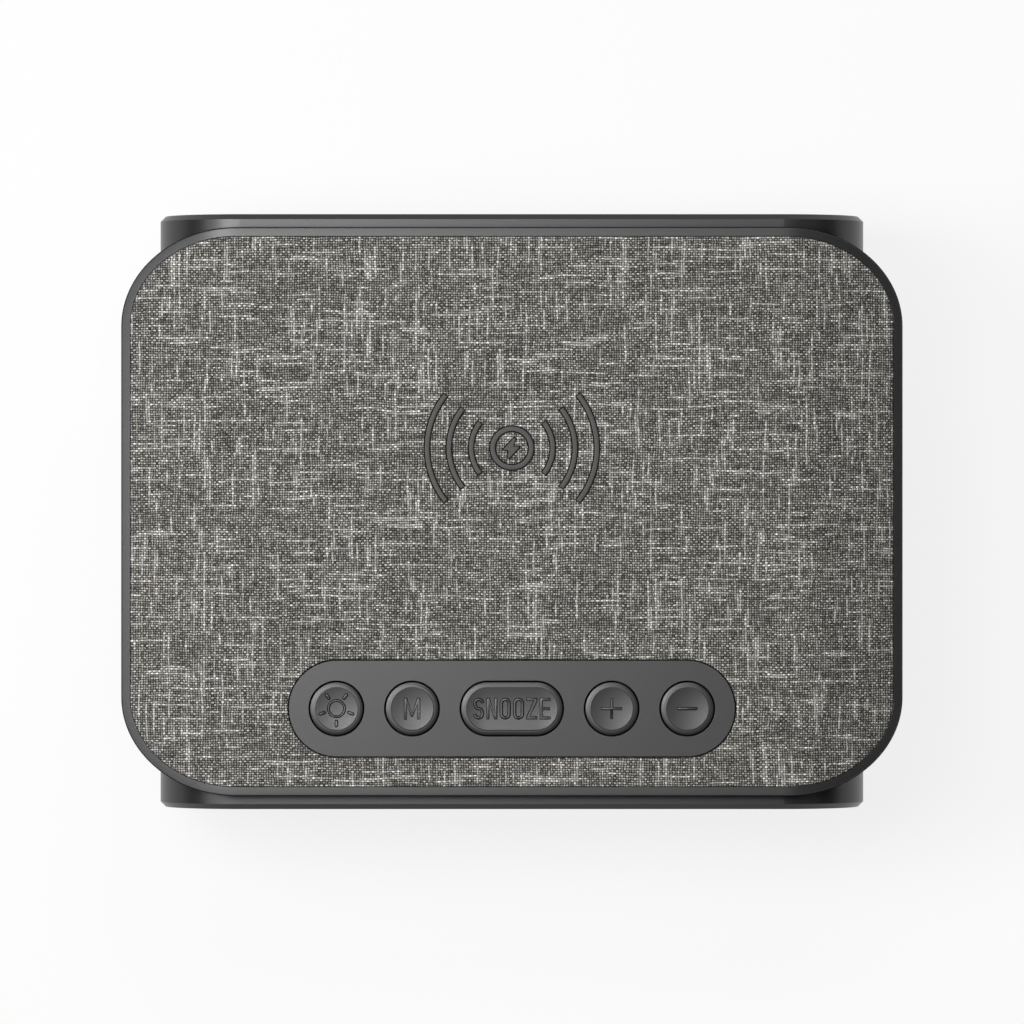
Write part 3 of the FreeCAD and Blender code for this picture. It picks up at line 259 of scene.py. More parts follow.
def threadSet(tree, across, along, seed):  # parallel threads: index, round profile, colour, thickness
    index = addNode(tree, "Math", {"operation": "FLOOR"}, links={0: across}).outputs[0]
    part = addNode(tree, "Math", {"operation": "FRACT"}, links={0: across}).outputs[0]
    lane = addNode(tree, "Math", {"operation": "MULTIPLY_ADD"}, {1: weave["lane"], 2: seed}, {0: index})
    levels = []
    for run, detail in ((weave["run"], 2.0), (weave["twistRun"], 0.0)):
        slow = addNode(tree, "Math", {"operation": "DIVIDE"}, {1: run}, {0: along}).outputs[0]
        spot = addNode(tree, "CombineXYZ", links={0: lane.outputs[0], 1: slow}).outputs[0]
        noise = addNode(tree, "TexNoise", {"noise_dimensions": "2D"},
                        {"Scale": 1.0, "Detail": detail, "Roughness": weave["noiseRough"]}, {"Vector": spot})
        levels.append(noise.outputs["Fac"])
    shade, fibres = levels
    ramp = addNode(tree, "ValToRGB", links={"Fac": shade})
    stops = ramp.color_ramp.elements
    stops[0].position, stops[0].color = weave["dark"], hexColour(weaveColours["dark"])
    stops[1].position, stops[1].color = weave["slub"] + weave["slubSoft"], hexColour(weaveColours["slub"])
    for position, key in ((weave["mid"], "mid"), (weave["slub"], "light")):
        stops.new(position).color = hexColour(weaveColours[key])
    angle = addNode(tree, "Math", {"operation": "MULTIPLY"}, {1: math.pi}, {0: part}).outputs[0]
    profile = addNode(tree, "Math", {"operation": "SINE"}, links={0: angle}).outputs[0]
    thin, full = (weave["slub"] + level for level in weave["thick"])
    thick = addNode(tree, "MapRange", values={"From Min": thin, "From Max": full}, links={"Value": shade})
    (dullAt, brightAt), (dull, bright) = weave["twistLevels"], weave["twist"]
    twist = addNode(tree, "MapRange", links={"Value": fibres},
                    values={"From Min": dullAt, "From Max": brightAt, "To Min": dull, "To Max": bright})
    twisted = addNode(tree, "VectorMath", {"operation": "SCALE"}, links={0: ramp.outputs["Color"]})
    tree.links.new(twist.outputs["Result"], twisted.inputs["Scale"])
    return index, profile, twisted.outputs[0], thick.outputs["Result"]


def dashShape(tree, across, along):  # what shows of a thread between two that cross it, narrow and long; round it lies painted shade
    sides = addNode(tree, "Math", {"operation": "POWER"}, {1: weave["gap"]}, {0: across}).outputs[0]
    ends = addNode(tree, "Math", {"operation": "POWER"}, {1: weave["dash"]}, {0: along}).outputs[0]
    return addNode(tree, "Math", {"operation": "MULTIPLY"}, links={0: sides, 1: ends}).outputs[0]


def fabricMaterial():  # woven polyester melange: grey yarns with near-white slubs, and painted shade between the threads
    material, tree, shader = newMaterial("polyesterMelangeWoven")
    still = addNode(tree, "TexCoord").outputs["Object"]
    place = still
    for amount, over in ((weave["wander"], weave["wanderOver"]), (weave["jitter"], weave["jitterOver"])):
        values = {"Scale": 1 / (over * mm), "Detail": 1.0}
        stray = addNode(tree, "TexNoise", values=values, links={"Vector": still})
        reach = 2 * amount * mm
        place = addNode(tree, "VectorMath", {"operation": "MULTIPLY_ADD"}, {1: (reach, reach, 0.0)},
                        {0: stray.outputs["Color"], 2: place}).outputs[0]
    pitch = (weave["warpPitch"] * mm, weave["weftPitch"] * mm, 1.0)
    cells = addNode(tree, "VectorMath", {"operation": "DIVIDE"}, {1: pitch}, {0: place})
    split = addNode(tree, "SeparateXYZ", links={0: cells.outputs[0]})
    x, y = split.outputs["X"], split.outputs["Y"]
    warpIndex, warpProfile, warpColour, warpThick = threadSet(tree, x, y, weave["warpSeed"])
    weftIndex, weftProfile, weftColour, weftThick = threadSet(tree, y, x, weave["weftSeed"])
    # plain weave: the weft lies on top at every other crossing
    total = addNode(tree, "Math", {"operation": "ADD"}, links={0: warpIndex, 1: weftIndex}).outputs[0]
    half = addNode(tree, "Math", {"operation": "MULTIPLY"}, {1: 0.5}, {0: total}).outputs[0]
    parity = addNode(tree, "Math", {"operation": "FRACT"}, links={0: half}).outputs[0]
    weftOver = addNode(tree, "Math", {"operation": "GREATER_THAN"}, {1: 0.25}, {0: parity}).outputs[0]
    # a thick slub shows through where it dives under
    warpShows = addNode(tree, "Math", {"operation": "MULTIPLY"}, {1: weave["under"]}, {0: warpThick})
    weftShows = addNode(tree, "Math", {"operation": "MULTIPLY"}, {1: weave["under"]}, {0: weftThick})
    least = addNode(tree, "Math", {"operation": "MAXIMUM"}, links={0: weftOver, 1: weftShows.outputs[0]})
    most = addNode(tree, "Math", {"operation": "SUBTRACT"}, {0: 1.0}, {1: warpShows.outputs[0]})
    share = addNode(tree, "Math", {"operation": "MINIMUM"}, links={0: least.outputs[0], 1: most.outputs[0]})
    yarn = addNode(tree, "Mix", {"data_type": "RGBA"}, links={"Factor": share.outputs[0]})
    tree.links.new(warpColour, yarn.inputs["A"])
    tree.links.new(weftColour, yarn.inputs["B"])
    # how bright each crossing is: its own chance, and painted shade from its depth and round its dash
    crossing = addNode(tree, "CombineXYZ", links={0: warpIndex, 1: weftIndex}).outputs[0]
    chance = addNode(tree, "TexWhiteNoise", {"noise_dimensions": "2D"}, links={"Vector": crossing})
    speckle = addNode(tree, "MapRange", links={"Value": chance.outputs["Value"]},
                      values={"To Min": weave["speckle"][0], "To Max": weave["speckle"][1]})
    values = {1: weave["valley"], 2: 1 - weave["valley"]}
    valley = addNode(tree, "Math", {"operation": "MULTIPLY_ADD"}, values, {0: weftOver})
    warpDash = dashShape(tree, warpProfile, weftProfile)
    weftDash = dashShape(tree, weftProfile, warpProfile)
    lift = addNode(tree, "Mix", links={"Factor": weftOver, "A": warpDash, "B": weftDash}).outputs["Result"]
    for factor in (speckle.outputs["Result"], valley.outputs[0]):
        lift = addNode(tree, "Math", {"operation": "MULTIPLY"}, links={0: lift, 1: factor}).outputs[0]
    # a slub fills the gaps beside it
    for thick, profile in ((warpThick, warpProfile), (weftThick, weftProfile)):
        full = addNode(tree, "Math", {"operation": "MULTIPLY"}, links={0: thick, 1: profile}).outputs[0]
        full = addNode(tree, "Math", {"operation": "MULTIPLY"}, {1: weave["fill"]}, {0: full}).outputs[0]
        lift = addNode(tree, "Math", {"operation": "MAXIMUM"}, links={0: lift, 1: full}).outputs[0]
    shaded = addNode(tree, "Mix", {"data_type": "RGBA"}, links={"Factor": lift})
    shaded.inputs["A"].default_value = hexColour(weaveColours["gap"])
    tree.links.new(yarn.outputs["Result"], shaded.inputs["B"])
    tree.links.new(shaded.outputs["Result"], shader.inputs["Base Color"])
    height = addNode(tree, "Math", {"operation": "MULTIPLY"}, links={0: warpProfile, 1: weftProfile})
    bump = addNode(tree, "Bump", values={"Strength": weave["bump"], "Distance": weave["depth"] * mm},
                   links={"Height": height.outputs[0]})
    tree.links.new(bump.outputs["Normal"], shader.inputs["Normal"])
    shader.inputs["Roughness"].default_value = weave["rough"]
    shader.inputs["Sheen Weight"].default_value = weave["sheen"]
    shader.inputs["Specular IOR Level"].default_value = weave["specular"]
    return material


def paintedShadeMaterial():  # painted shade: a dull near-black, mottled at random, laid in the gaps round the caps, round the signs' feet and along the tray's step where shade falls
    material, tree, shader = newMaterial("paintedShadeBlack")
    place = addNode(tree, "TexCoord").outputs["Object"]
    mottleLook(tree, shader, place, shadeLook["blotch"], 2.0, shadeLook["tints"], shadeLook["rough"])
    shader.inputs["Specular IOR Level"].default_value = shadeLook["specular"]
    return material


def inkMaterial():  # silicone ink, screen printed: even grey, matt, the weave faintly through it
    material, tree, shader = newMaterial("siliconeInkScreenPrinted")
    place = addNode(tree, "TexCoord").outputs["Object"]
    mottleLook(tree, shader, place, ink["weave"], 1.0, ink["tints"], relief=ink["relief"])
    shader.inputs["Roughness"].default_value = ink["rough"]
    return material


def lensMaterial():  # cast acrylic, smoked and polished: black at a glance, the display faint behind it
    material, tree, shader = newMaterial("acrylicSmokedPolished")
    place = addNode(tree, "TexCoord").outputs["Object"]
    mottleLook(tree, shader, place, lens["haze"], 2.0, rough=lens["rough"])
    shader.inputs["Base Color"].default_value = hexColour(lens["colour"])
    shader.inputs["Transmission Weight"].default_value = lens["clear"]
    shader.inputs["IOR"].default_value = lens["ior"]
    return material


finishes = {name: plasticMaterial(name, look) for name, look in plastics.items()}
finishes.update({name: metalMaterial(name, look) for name, look in metals.items()})
finishes["polyesterMelangeWoven"] = fabricMaterial()
finishes["siliconeInkScreenPrinted"] = inkMaterial()
finishes["paintedShadeBlack"] = paintedShadeMaterial()
finishes["acrylicSmokedPolished"] = lensMaterial()
print("materials made:", len(finishes))

slotFinish = {  # the record's material slots, and the finish that each gets here
    "shell_black": "absSatinBlackMoulded", "tray_black": "absSatinTrayMoulded",
    "pad_grey": "absKeypadMoulded", "key_grey": "absKeycapMoulded", "cover_black": "absRearErodedBlack",
    "frame_black": "absMattBlackMoulded", "block_black": "absMattBlackMoulded",
    "board_black": "fibreboardPressedBlack", "fabric": "polyesterMelangeWoven",
    "lens_smoke": "acrylicSmokedPolished", "segment_white": "diffuserMilkyAcrylic",
    "circuit_green": "solderMaskGreen", "chip_black": "epoxyMouldedBlack", "jack_black": "epoxyMouldedBlack",
    "switch_black": "epoxyMouldedBlack", "plunger_white": "acetalMouldedWhite",
    "coil_copper": "copperEnamelledWire", "contact_brass": "brassSpringStrip",
    "ferrite_grey": "ferriteSinteredGrey", "magnet_grey": "ferriteSinteredGrey",
    "screw_steel": "steelZincPlated", "plate_steel": "steelZincPlated", "screw_black": "steelBlackOxide",
    "basket_steel": "steelBlackOxide", "socket_steel": "steelNickelPlated", "cell_steel": "steelNickelPlated",
    "cone_paper": "paperConeCoated", "spider_cloth": "spiderClothResined", "foam_black": "foamClosedCell",
    "rubber_black": "rubberMouldedBlack",
}
for subpart in frame["record"]["subparts"]:
    holder = nodes[subpart["node"]]
    finish = finishes[slotFinish[subpart["material_slot"]]]
    for place in holder.material_slots:
        place.material = finish


# Tray: the rim and its turned-down ends

tray = {
    "bendStart": 52.4, "bendRadius": 24.0, "wingDeg": 21.0,  # mm from the middle, mm, degrees
    "cornerX": 22.3, "cornerY": 18.8,  # semi-axes of the plan's corners
    "height": 6.0, "rim": 1.75, "ledge": 1.5, "boardSunk": 1.85, "floorSunk": 4.4,
    "innerEdge": 0.08, "underEdge": 0.5,
    # up the outer side, mm drawn in and mm sunk: the flank, the black step that paints the shadow line round
    # the tray's outer edge, and the rim's edge
    "flank": [(0, 0.9), (0, 0.5), (0.02, 0.46), (0.17, 0.44), (0.19, 0.1), (0.22, 0.03), (0.28, 0.0)],
    "stepSunk": (0.08, 0.56),  # the step painted black as a shadow line lies between these depths
    "cornerSteps": 36, "longSteps": 72, "shortSteps": 10,
}
trayLow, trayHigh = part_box("tray_frame")
traySize = (trayHigh - trayLow) / mm
trayTop = trayHigh.z / mm


def saddleHeight(x, sunk):  # height in mm at x mm of a sheet sunk below the tray's top face
    away = abs(x) - tray["bendStart"]
    turn = math.radians(tray["wingDeg"])
    radius = tray["bendRadius"] - sunk
    centre = trayTop - tray["bendRadius"]
    if away <= 0:
        return centre + radius
    if away <= radius * math.sin(turn):
        return centre + math.sqrt(radius ** 2 - away ** 2)
    return centre + radius * math.cos(turn) - (away - radius * math.sin(turn)) * math.tan(turn)


def trayOutline(drawnIn):  # the plan's outline in mm, drawn in, anticlockwise from the right
    halfX, halfY = traySize.x / 2, traySize.y / 2
    semiX, semiY = tray["cornerX"] - drawnIn, tray["cornerY"] - drawnIn
    cx, cy = halfX - tray["cornerX"], halfY - tray["cornerY"]
    corners = [(1, 1, 0), (-1, 1, 90), (-1, -1, 180), (1, -1, 270)]

    def onCorner(k, degrees):
        sx, sy, start = corners[k % 4]
        a = math.radians(start + degrees)
        return sx * cx + semiX * math.cos(a), sy * cy + semiY * math.sin(a)

    points = []
    for k in range(4):
        for i in range(tray["cornerSteps"] + 1):
            points.append(onCorner(k, 90 * i / tray["cornerSteps"]))
        steps = tray["longSteps"] if k % 2 == 0 else tray["shortSteps"]
        (beginX, beginY), (endX, endY) = points[-1], onCorner(k + 1, 0)
        for i in range(1, steps):
            t = i / steps
            points.append((beginX + (endX - beginX) * t, beginY + (endY - beginY) * t))
    return points


def trayRing(drawnIn, sunk):  # that outline laid on the bent sheet
    return [Vector((x * mm, y * mm, saddleHeight(x, sunk) * mm)) for x, y in trayOutline(drawnIn)]


def fillAcross(ring):  # quads between the two long sides of a tray ring, so that they follow the bend
    order = sorted(range(len(ring)), key=lambda i: (round(ring[i].x, 7), ring[i].y))
    lower = [i for i in order if ring[i].y < 0]
    upper = [i for i in order if ring[i].y >= 0]
    pairs = list(zip(lower, upper))
    return [(low, nextLow, nextHigh, high) for (low, high), (nextLow, nextHigh) in zip(pairs, pairs[1:])]


def buildTray():
    n, u = tray["innerEdge"], tray["underEdge"]
    rim, shelf = tray["rim"], tray["rim"] + tray["ledge"]
    h = tray["height"]
    profile = [(u, h)] + roundedStep((u, h), (0, h - u), (0, h))[1:]
    profile += tray["flank"]
    profile += roundedStep((rim - n, 0), (rim, n), (rim, 0), 3)
    profile += [(rim, tray["boardSunk"]), (shelf, tray["boardSunk"]), (shelf, tray["floorSunk"])]
    rings = [trayRing(d, s) for d, s in profile]
    verts, faces = bridgeRings(rings)
    count = len(rings[0])
    last = (len(rings) - 1) * count
    faces += [tuple(reversed(f)) for f in fillAcross(rings[0])]
    faces += [tuple(last + i for i in f) for f in fillAcross(rings[-1])]
    piece = meshPiece("trayRim", verts, faces, finishes["absSatinTrayMoulded"])
    # the step's faces take the painted shade: a black shadow line round the tray's outer edge
    piece.data.materials.append(finishes["paintedShadeBlack"])
    high, deep = tray["stepSunk"]
    for face in piece.data.polygons:
        corners = (piece.data.vertices[i].co for i in face.vertices)
        face.material_index = int(all(high < saddleHeight(c.x / mm, 0) - c.z / mm < deep for c in corners))
    evenNormals(piece)
    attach(piece, "case")
    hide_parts("tray_frame")
    return piece


buildTray()
print("tray built")


# Keypad: pad, five caps and their signs

keypad = {
    "lip": 1.5, "edge": 0.06, "plateLow": 69.35,  # mm of hidden lip, of rounded edge, and up to the underside
    "capGap": 0.34, "capWidth": 10.0, "snoozeLength": 19.35,
    "flange": 0.9, "flangeLow": 68.45, "flangeThick": 0.8,
    # the ring round a cap slopes up to a narrow crest, from which a small step leads down to the dish
    "bevel": 0.80, "bevelDrop": 0.15, "bevelSwell": 0.03, "bevelShort": 0.03, "sideShort": 0.1,
    "crest": 0.14, "step": 0.06, "dish": 0.24,
    "blackBelow": 0.4,  # mm under the ring's foot from which the side and the flange are black: painted shade in the gap round the cap
    "steps": 96, "ringSteps": 10, "crestSteps": 4, "dishSteps": 24,
}
caps = ["light", "mode", "snooze", "plus", "minus"]
padLow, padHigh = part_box("button_pad")
padTop = padHigh.z / mm


def capPlace(name):  # centre, half the straight run, and the cap's top, in mm
    low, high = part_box(name + "_button")
    centre = (low + high) / 2 / mm
    length = keypad["snoozeLength"] if name == "snooze" else keypad["capWidth"]
    return centre.x, centre.y, (length - keypad["capWidth"]) / 2, high.z / mm


def stadiumRing(x, y, reach, radius, z, steps):  # reach is half the straight run
    points = []
    for side in (1, -1):
        for i in range(steps // 2 + 1):
            a = -math.pi / 2 + math.pi * i / (steps // 2)
            points.append(Vector(((x + side * (reach + radius * math.cos(a))) * mm,
                                  (y + side * radius * math.sin(a)) * mm, z * mm)))
    return points


def loopCurve(name, loops, dimensions, fill):  # a closed line through the points of each loop
    curve = bpy.data.curves.new(name, "CURVE")
    curve.dimensions = dimensions
    curve.fill_mode = fill
    for loop in loops:
        spline = curve.splines.new("POLY")
        spline.points.add(len(loop) - 1)
        for point, (x, y) in zip(spline.points, loop):
            point.co = (x * mm, y * mm, 0, 1)
        spline.use_cyclic_u = True
    return curve


def curvePiece(name, loops, z, thick, edge, material, steps, drawnIn=0.0):  # flat, with rounded edges
    curve = loopCurve(name, loops, "2D", "BOTH")
    curve.extrude = max(thick / 2 - edge, 0) * mm
    curve.bevel_depth = edge * mm
    curve.bevel_resolution = steps
    curve.offset = -(edge + drawnIn) * mm
    return curveToMesh(name, curve, z, material)


def curveToMesh(name, curve, z, material):  # the curve's own mesh, lifted to z mm
    holder = bpy.data.objects.new(name + "Curve", curve)
    bpy.context.scene.collection.objects.link(holder)
    bpy.context.view_layer.update()
    mesh = bpy.data.meshes.new_from_object(holder.evaluated_get(bpy.context.evaluated_depsgraph_get()))
    bpy.data.objects.remove(holder)
    mesh.name = name
    mesh.transform(Matrix.Translation((0, 0, z * mm)))
    piece = bpy.data.objects.new(name, mesh)
    bpy.context.scene.collection.objects.link(piece)
    finishMesh(piece, material, True, 50)
    evenNormals(piece)
    return piece


def circleLoop(x, y, radius, steps=72, start=0, end=360):
    count = steps if end - start >= 360 else steps + 1
    first, span = math.radians(start), math.radians(end - start)
    return [(x + radius * math.cos(first + span * i / steps),
             y + radius * math.sin(first + span * i / steps)) for i in range(count)]


def stadiumLoop(x, y, length, width, steps):
    ring = stadiumRing(x, y, (length - width) / 2, width / 2, 0, steps)
    return [(p.x / mm, p.y / mm) for p in ring]


def padLoop(grown, steps):  # the pad's outline as it shows, grown by an amount in mm
    size = (padHigh - padLow) / mm
    centre = (padLow + padHigh) / 2 / mm
    less = 2 * keypad["lip"]
    return stadiumLoop(centre.x, centre.y, size.x - less + 2 * grown, size.y - less + 2 * grown, steps)


def buildPad():
    loops = [padLoop(0, 128)]
    for name in caps:
        x, y, reach = capPlace(name)[:3]
        width = keypad["capWidth"] + 2 * keypad["capGap"]
        loops.append(stadiumLoop(x, y, width + 2 * reach, width, 96))
    bottom = keypad["plateLow"]
    piece = curvePiece("keypadPlate", loops, (padTop + bottom) / 2, padTop - bottom, keypad["edge"],
                       finishes["absKeypadMoulded"], 3)
    for face in piece.data.polygons:  # the plain top is lit as one flat face
        face.use_smooth = abs(face.normal.z) < 0.9999
    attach(piece, "case")
    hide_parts("button_pad")
    return piece


def bowl(top, share):  # height in mm of a dish at a share of its radius
    return top - keypad["step"] - (keypad["dish"] - keypad["step"]) * (1 - share ** 2)


def dishHeight(name, x, y):  # height in mm of a cap's dish at a place in mm
    cx, cy, reach, top = capPlace(name)
    away = max(abs(x - cx) - reach, 0)
    rim = keypad["capWidth"] / 2 - keypad["bevel"] - keypad["crest"]
    return bowl(top, min(math.hypot(away, y - cy) / rim, 1))


def buildCap(name):
    x, y, reach, top = capPlace(name)
    radius = keypad["capWidth"] / 2
    shoulder = radius - keypad["bevel"]
    foot = top - keypad["bevelDrop"]
    flangeLow, flangeOut = keypad["flangeLow"], radius + keypad["flange"]
    flangeTop = flangeLow + keypad["flangeThick"]
    profile = [(0.0, flangeLow), (flangeOut, flangeLow), (flangeOut, flangeTop), (radius, flangeTop),
               (radius, foot - keypad["sideShort"])]
    for i in range(keypad["ringSteps"] + 1):  # the ring slopes up with a slight swell
        t = i / keypad["ringSteps"]
        rise = (keypad["bevelDrop"] - keypad["bevelShort"]) * t + keypad["bevelSwell"] * math.sin(math.pi * t)
        profile.append((radius - keypad["bevel"] * t, foot + rise))
    crest, step = keypad["crest"], keypad["step"]
    for i in range(1, keypad["crestSteps"] + 1):  # a narrow round crest, and the small step down to the dish
        a = math.pi / 2 * (1 + i / keypad["crestSteps"])
        profile.append((shoulder - crest / 2 + crest / 2 * math.cos(a), top - step + step * math.sin(a)))
    for i in range(1, keypad["dishSteps"] + 1):
        share = 1 - i / keypad["dishSteps"]
        profile.append(((shoulder - crest) * share, bowl(top, share)))
    rings = [stadiumRing(x, y, reach, r, z, keypad["steps"]) for r, z in profile]
    verts, faces = bridgeRings(rings)
    piece = meshPiece(name + "Cap", verts, faces, finishes["absKeycapMoulded"])
    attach(piece, name + "_key")
    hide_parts(name + "_button")
    piece.data.materials.append(finishes["paintedShadeBlack"])
    for face in piece.data.polygons:  # only the top and its ring are grey; below, painted shade blacks out the gap round the cap
        face.material_index = int(face.center.z < (foot - keypad["blackBelow"]) * mm)
    return piece


signs = {
    "height": 4.05, "stroke": 0.5, "letter": 2.0, "gap": 0.55, "modeWidth": 3.05,
    "plus": 3.85, "minus": 3.85, "bar": 0.47, "thick": 0.035, "edge": 0.015,
    "outline": 0.088, "outlineUp": 0.025, "outlineFlat": 0.35,  # the line of painted shade round a sign's foot: radius, height, flattened to
    "sunOuter": 1.75, "sunInner": 1.36, "rays": 5, "rayRadius": 2.86, "rayLength": 1.30, "rayWidth": 0.52,
}


def turnedLoop(loop, x, y, turn):  # turned by radians, then moved
    return [(x + px * math.cos(turn) - py * math.sin(turn), y + px * math.sin(turn) + py * math.cos(turn))
            for px, py in loop]


def crossLoop(half, bar):  # a cross of two bars: half the length and half the width of one
    corner = [(half, bar), (bar, bar), (bar, half)]
    points = []
    for _ in range(4):
        points += corner
        corner = [(-py, px) for px, py in corner]
    return points


def letterLoops(letter):  # condensed capitals of even stroke, from the lower left corner, in mm
    w, h, t = signs["letter"], signs["height"], signs["stroke"]
    lean, notch = 1.25 * t, 2.4 * t
    if letter == "E":
        arm, low, high = 0.92 * w, (h - t) / 2, (h + t) / 2
        return [[(0, 0), (w, 0), (w, t), (t, t), (t, low), (arm, low), (arm, high), (t, high), (t, h - t),
                 (w, h - t), (w, h), (0, h)]]
    if letter == "Z":
        return [[(0, 0), (w, 0), (w, t), (lean, t), (w, h - t), (w, h), (0, h), (0, h - t), (w - lean, h - t),
                 (0, t)]]
    if letter == "N":
        return [[(0, 0), (t, 0), (t, h - notch), (w - t, 0), (w, 0), (w, h), (w - t, h), (w - t, notch),
                 (t, h), (0, h)]]
    if letter == "M":
        w, inner, tip = signs["modeWidth"], h - 2.3 * t, 0.2 * t
        return [[(0, 0), (t, 0), (t, inner), (w / 2 - tip, t), (w / 2 + tip, t), (w - t, inner), (w - t, 0),
                 (w, 0), (w, h), (w - t, h), (w / 2, notch), (t, h), (0, h)]]
    if letter == "O":
        return [[(w / 2 - py, h / 2 + px) for px, py in stadiumLoop(0, 0, h - less, w - less, 48)]
                for less in (0, 2 * t)]
    return [strokeLoop(spineOfS(w, h, t), t)]


def spineOfS(w, h, t):  # a line down the middle of the S
    r = (w - t) / 2
    top, bottom, middle = h - t / 2 - r, t / 2 + r, h / 2
    bends = [(top, r, 5, 180, 14), (top, top - middle, 195, 270, 6), (bottom, middle - bottom, 75, 0, 6),
             (bottom, r, -15, -175, 13)]
    return [(w / 2 + r * math.cos(a), centre + tall * math.sin(a))
            for centre, tall, start, end, steps in bends for a in steppedTurn(start, end, steps)]


def strokeLoop(line, thick):  # a line widened both ways
    left, right = [], []
    for i, (px, py) in enumerate(line):
        (ax, ay), (bx, by) = line[max(i - 1, 0)], line[min(i + 1, len(line) - 1)]
        length = math.hypot(bx - ax, by - ay)
        nx, ny = (ay - by) / length * thick / 2, (bx - ax) / length * thick / 2
        left.append((px + nx, py + ny))
        right.append((px - nx, py - ny))
    return left + right[::-1]


def steppedTurn(start, end, steps):
    return [math.radians(start + (end - start) * i / steps) for i in range(steps + 1)]


def layOnDish(piece, name):  # each point keeps its height over the cap's dish
    for vertex in piece.data.vertices:
        vertex.co.z += dishHeight(name, vertex.co.x / mm, vertex.co.y / mm) * mm
    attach(piece, name + "_key")


def outlinePiece(name, loops, z, radius, material):  # a flattened bead along each loop, used as painted shade
    curve = loopCurve(name, loops, "3D", "FULL")
    curve.bevel_depth = radius * mm
    curve.bevel_resolution = 1
    piece = curveToMesh(name, curve, 0, material)
    for vertex in piece.data.vertices:
        vertex.co.z = vertex.co.z * signs["outlineFlat"] + z * mm
    return piece


def buildSign(name, loops):  # raised by a hair, with a line of painted shade round its foot
    face = curvePiece(name + "Sign", loops, 0, signs["thick"], signs["edge"], finishes["absKeycapMoulded"], 1,
                      signs["outline"])
    line = outlinePiece(name + "SignShadeLine", loops, signs["outlineUp"], signs["outline"],
                        finishes["paintedShadeBlack"])
    layOnDish(face, name)
    layOnDish(line, name)


def wordLoops(name, word, width):  # a word centred on its cap, its letters this wide
    x, y = capPlace(name)[:2]
    left = x - (len(word) * width + (len(word) - 1) * signs["gap"]) / 2
    return [[(left + k * (width + signs["gap"]) + px, y - signs["height"] / 2 + py) for px, py in loop]
            for k, letter in enumerate(word) for loop in letterLoops(letter)]


def sunLoops(x, y):  # a ring with rays, one of them pointing at the user
    loops = [circleLoop(x, y, signs["sunOuter"]), circleLoop(x, y, signs["sunInner"])]
    ray = stadiumLoop(0, 0, signs["rayLength"], signs["rayWidth"], 24)
    for k in range(signs["rays"]):
        turn = math.radians(-90 + 360 / signs["rays"] * k)
        loops.append(turnedLoop(ray, x + signs["rayRadius"] * math.cos(turn),
                                y + signs["rayRadius"] * math.sin(turn), turn))
    return loops


def buildSigns():
    buildSign("snooze", wordLoops("snooze", "SNOOZE", signs["letter"]))
    buildSign("mode", wordLoops("mode", "M", signs["modeWidth"]))
    buildSign("light", sunLoops(*capPlace("light")[:2]))
    x, y = capPlace("minus")[:2]
    buildSign("minus", [stadiumLoop(x, y, signs["minus"], signs["bar"], 24)])
    x, y = capPlace("plus")[:2]
    buildSign("plus", [turnedLoop(crossLoop(signs["plus"] / 2, signs["bar"] / 2), x, y, 0)])


buildPad()
for capName in caps:
    buildCap(capName)
buildSigns()
print("keypad built")


# Fabric: one sheet bonded to its board, turned down at the edges

fabric = {
    "sunk": 0.15, "inset": 1.78, "turn": 0.12, "drop": 0.5, "grid": 3.0, "padGap": 0.16,
    "padReach": (44.5, 11.0),  # mm from the pad's middle, past which a turned edge is the sheet's outer one
}


def bendMesh(body):  # cuts across the sheet so that it can follow the tray's bend
    for axis, half in enumerate((traySize.x / 2, traySize.y / 2)):
        count = int(2 * half / fabric["grid"])
        for i in range(1, count):
            point, normal = Vector((0, 0, 0)), Vector((0, 0, 0))
            point[axis] = (-half + 2 * half * i / count) * mm
            normal[axis] = 1
            bmesh.ops.bisect_plane(body, geom=body.verts[:] + body.edges[:] + body.faces[:], plane_co=point,
                                   plane_no=normal, dist=tiny)


def buildFabric():
    outer = trayOutline(fabric["inset"] + fabric["turn"])
    loops = [outer, padLoop(fabric["padGap"] + fabric["turn"], 96)]
    piece = curveToMesh("fabricCover", loopCurve("fabricCover", loops, "2D", "FRONT"), 0,
                        finishes["polyesterMelangeWoven"])
    body = bmesh.new()
    body.from_mesh(piece.data)
    bendMesh(body)
    rim = [edge for edge in body.edges if edge.is_boundary]
    grown = bmesh.ops.extrude_edge_only(body, edges=rim)
    turned = {v for v in grown["geom"] if isinstance(v, bmesh.types.BMVert)}
    spreadX, spreadY = ((half - fabric["inset"]) / (half - fabric["inset"] - fabric["turn"])
                        for half in (traySize.x / 2, traySize.y / 2))
    reachX, reachY = fabric["padReach"]
    padY = (padLow.y + padHigh.y) / 2 / mm
    for v in body.verts:
        x, y = v.co.x / mm, v.co.y / mm
        drop = fabric["drop"] if v in turned else 0.0
        if v in turned and (abs(x) > reachX or abs(y - padY) > reachY):
            x, y = x * spreadX, y * spreadY
        v.co = Vector((x * mm, y * mm, (saddleHeight(x, fabric["sunk"]) - drop) * mm))
    body.to_mesh(piece.data)
    body.free()
    finishMesh(piece, finishes["polyesterMelangeWoven"], True, 60)
    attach(piece, "case")
    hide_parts("fabric_cover")
    return piece


buildFabric()

pictogram = {
    "y": 12.2, "ringOuter": 4.275, "ringInner": 3.15,
    "arcs": [7.83, 12.1, 16.3], "halfDeg": 39.0, "stroke": 1.1, "arcSteps": 40,
    # outline is the radius, outlineUp the height, of a line of painted shadow round the sign's foot
    "thick": 0.26, "edge": 0.05, "outline": 0.12, "outlineUp": 0.1,
    # the flash: x and y in mm from the ring's centre
    "bolt": [(0.84, 1.9), (0.36, 2.1), (-1.74, -0.16), (-1.72, -0.4), (-0.76, -0.44), (-0.96, -1.86),
             (-0.5, -2.1), (1.44, -0.02), (1.4, 0.4), (0.38, 0.42)],
}


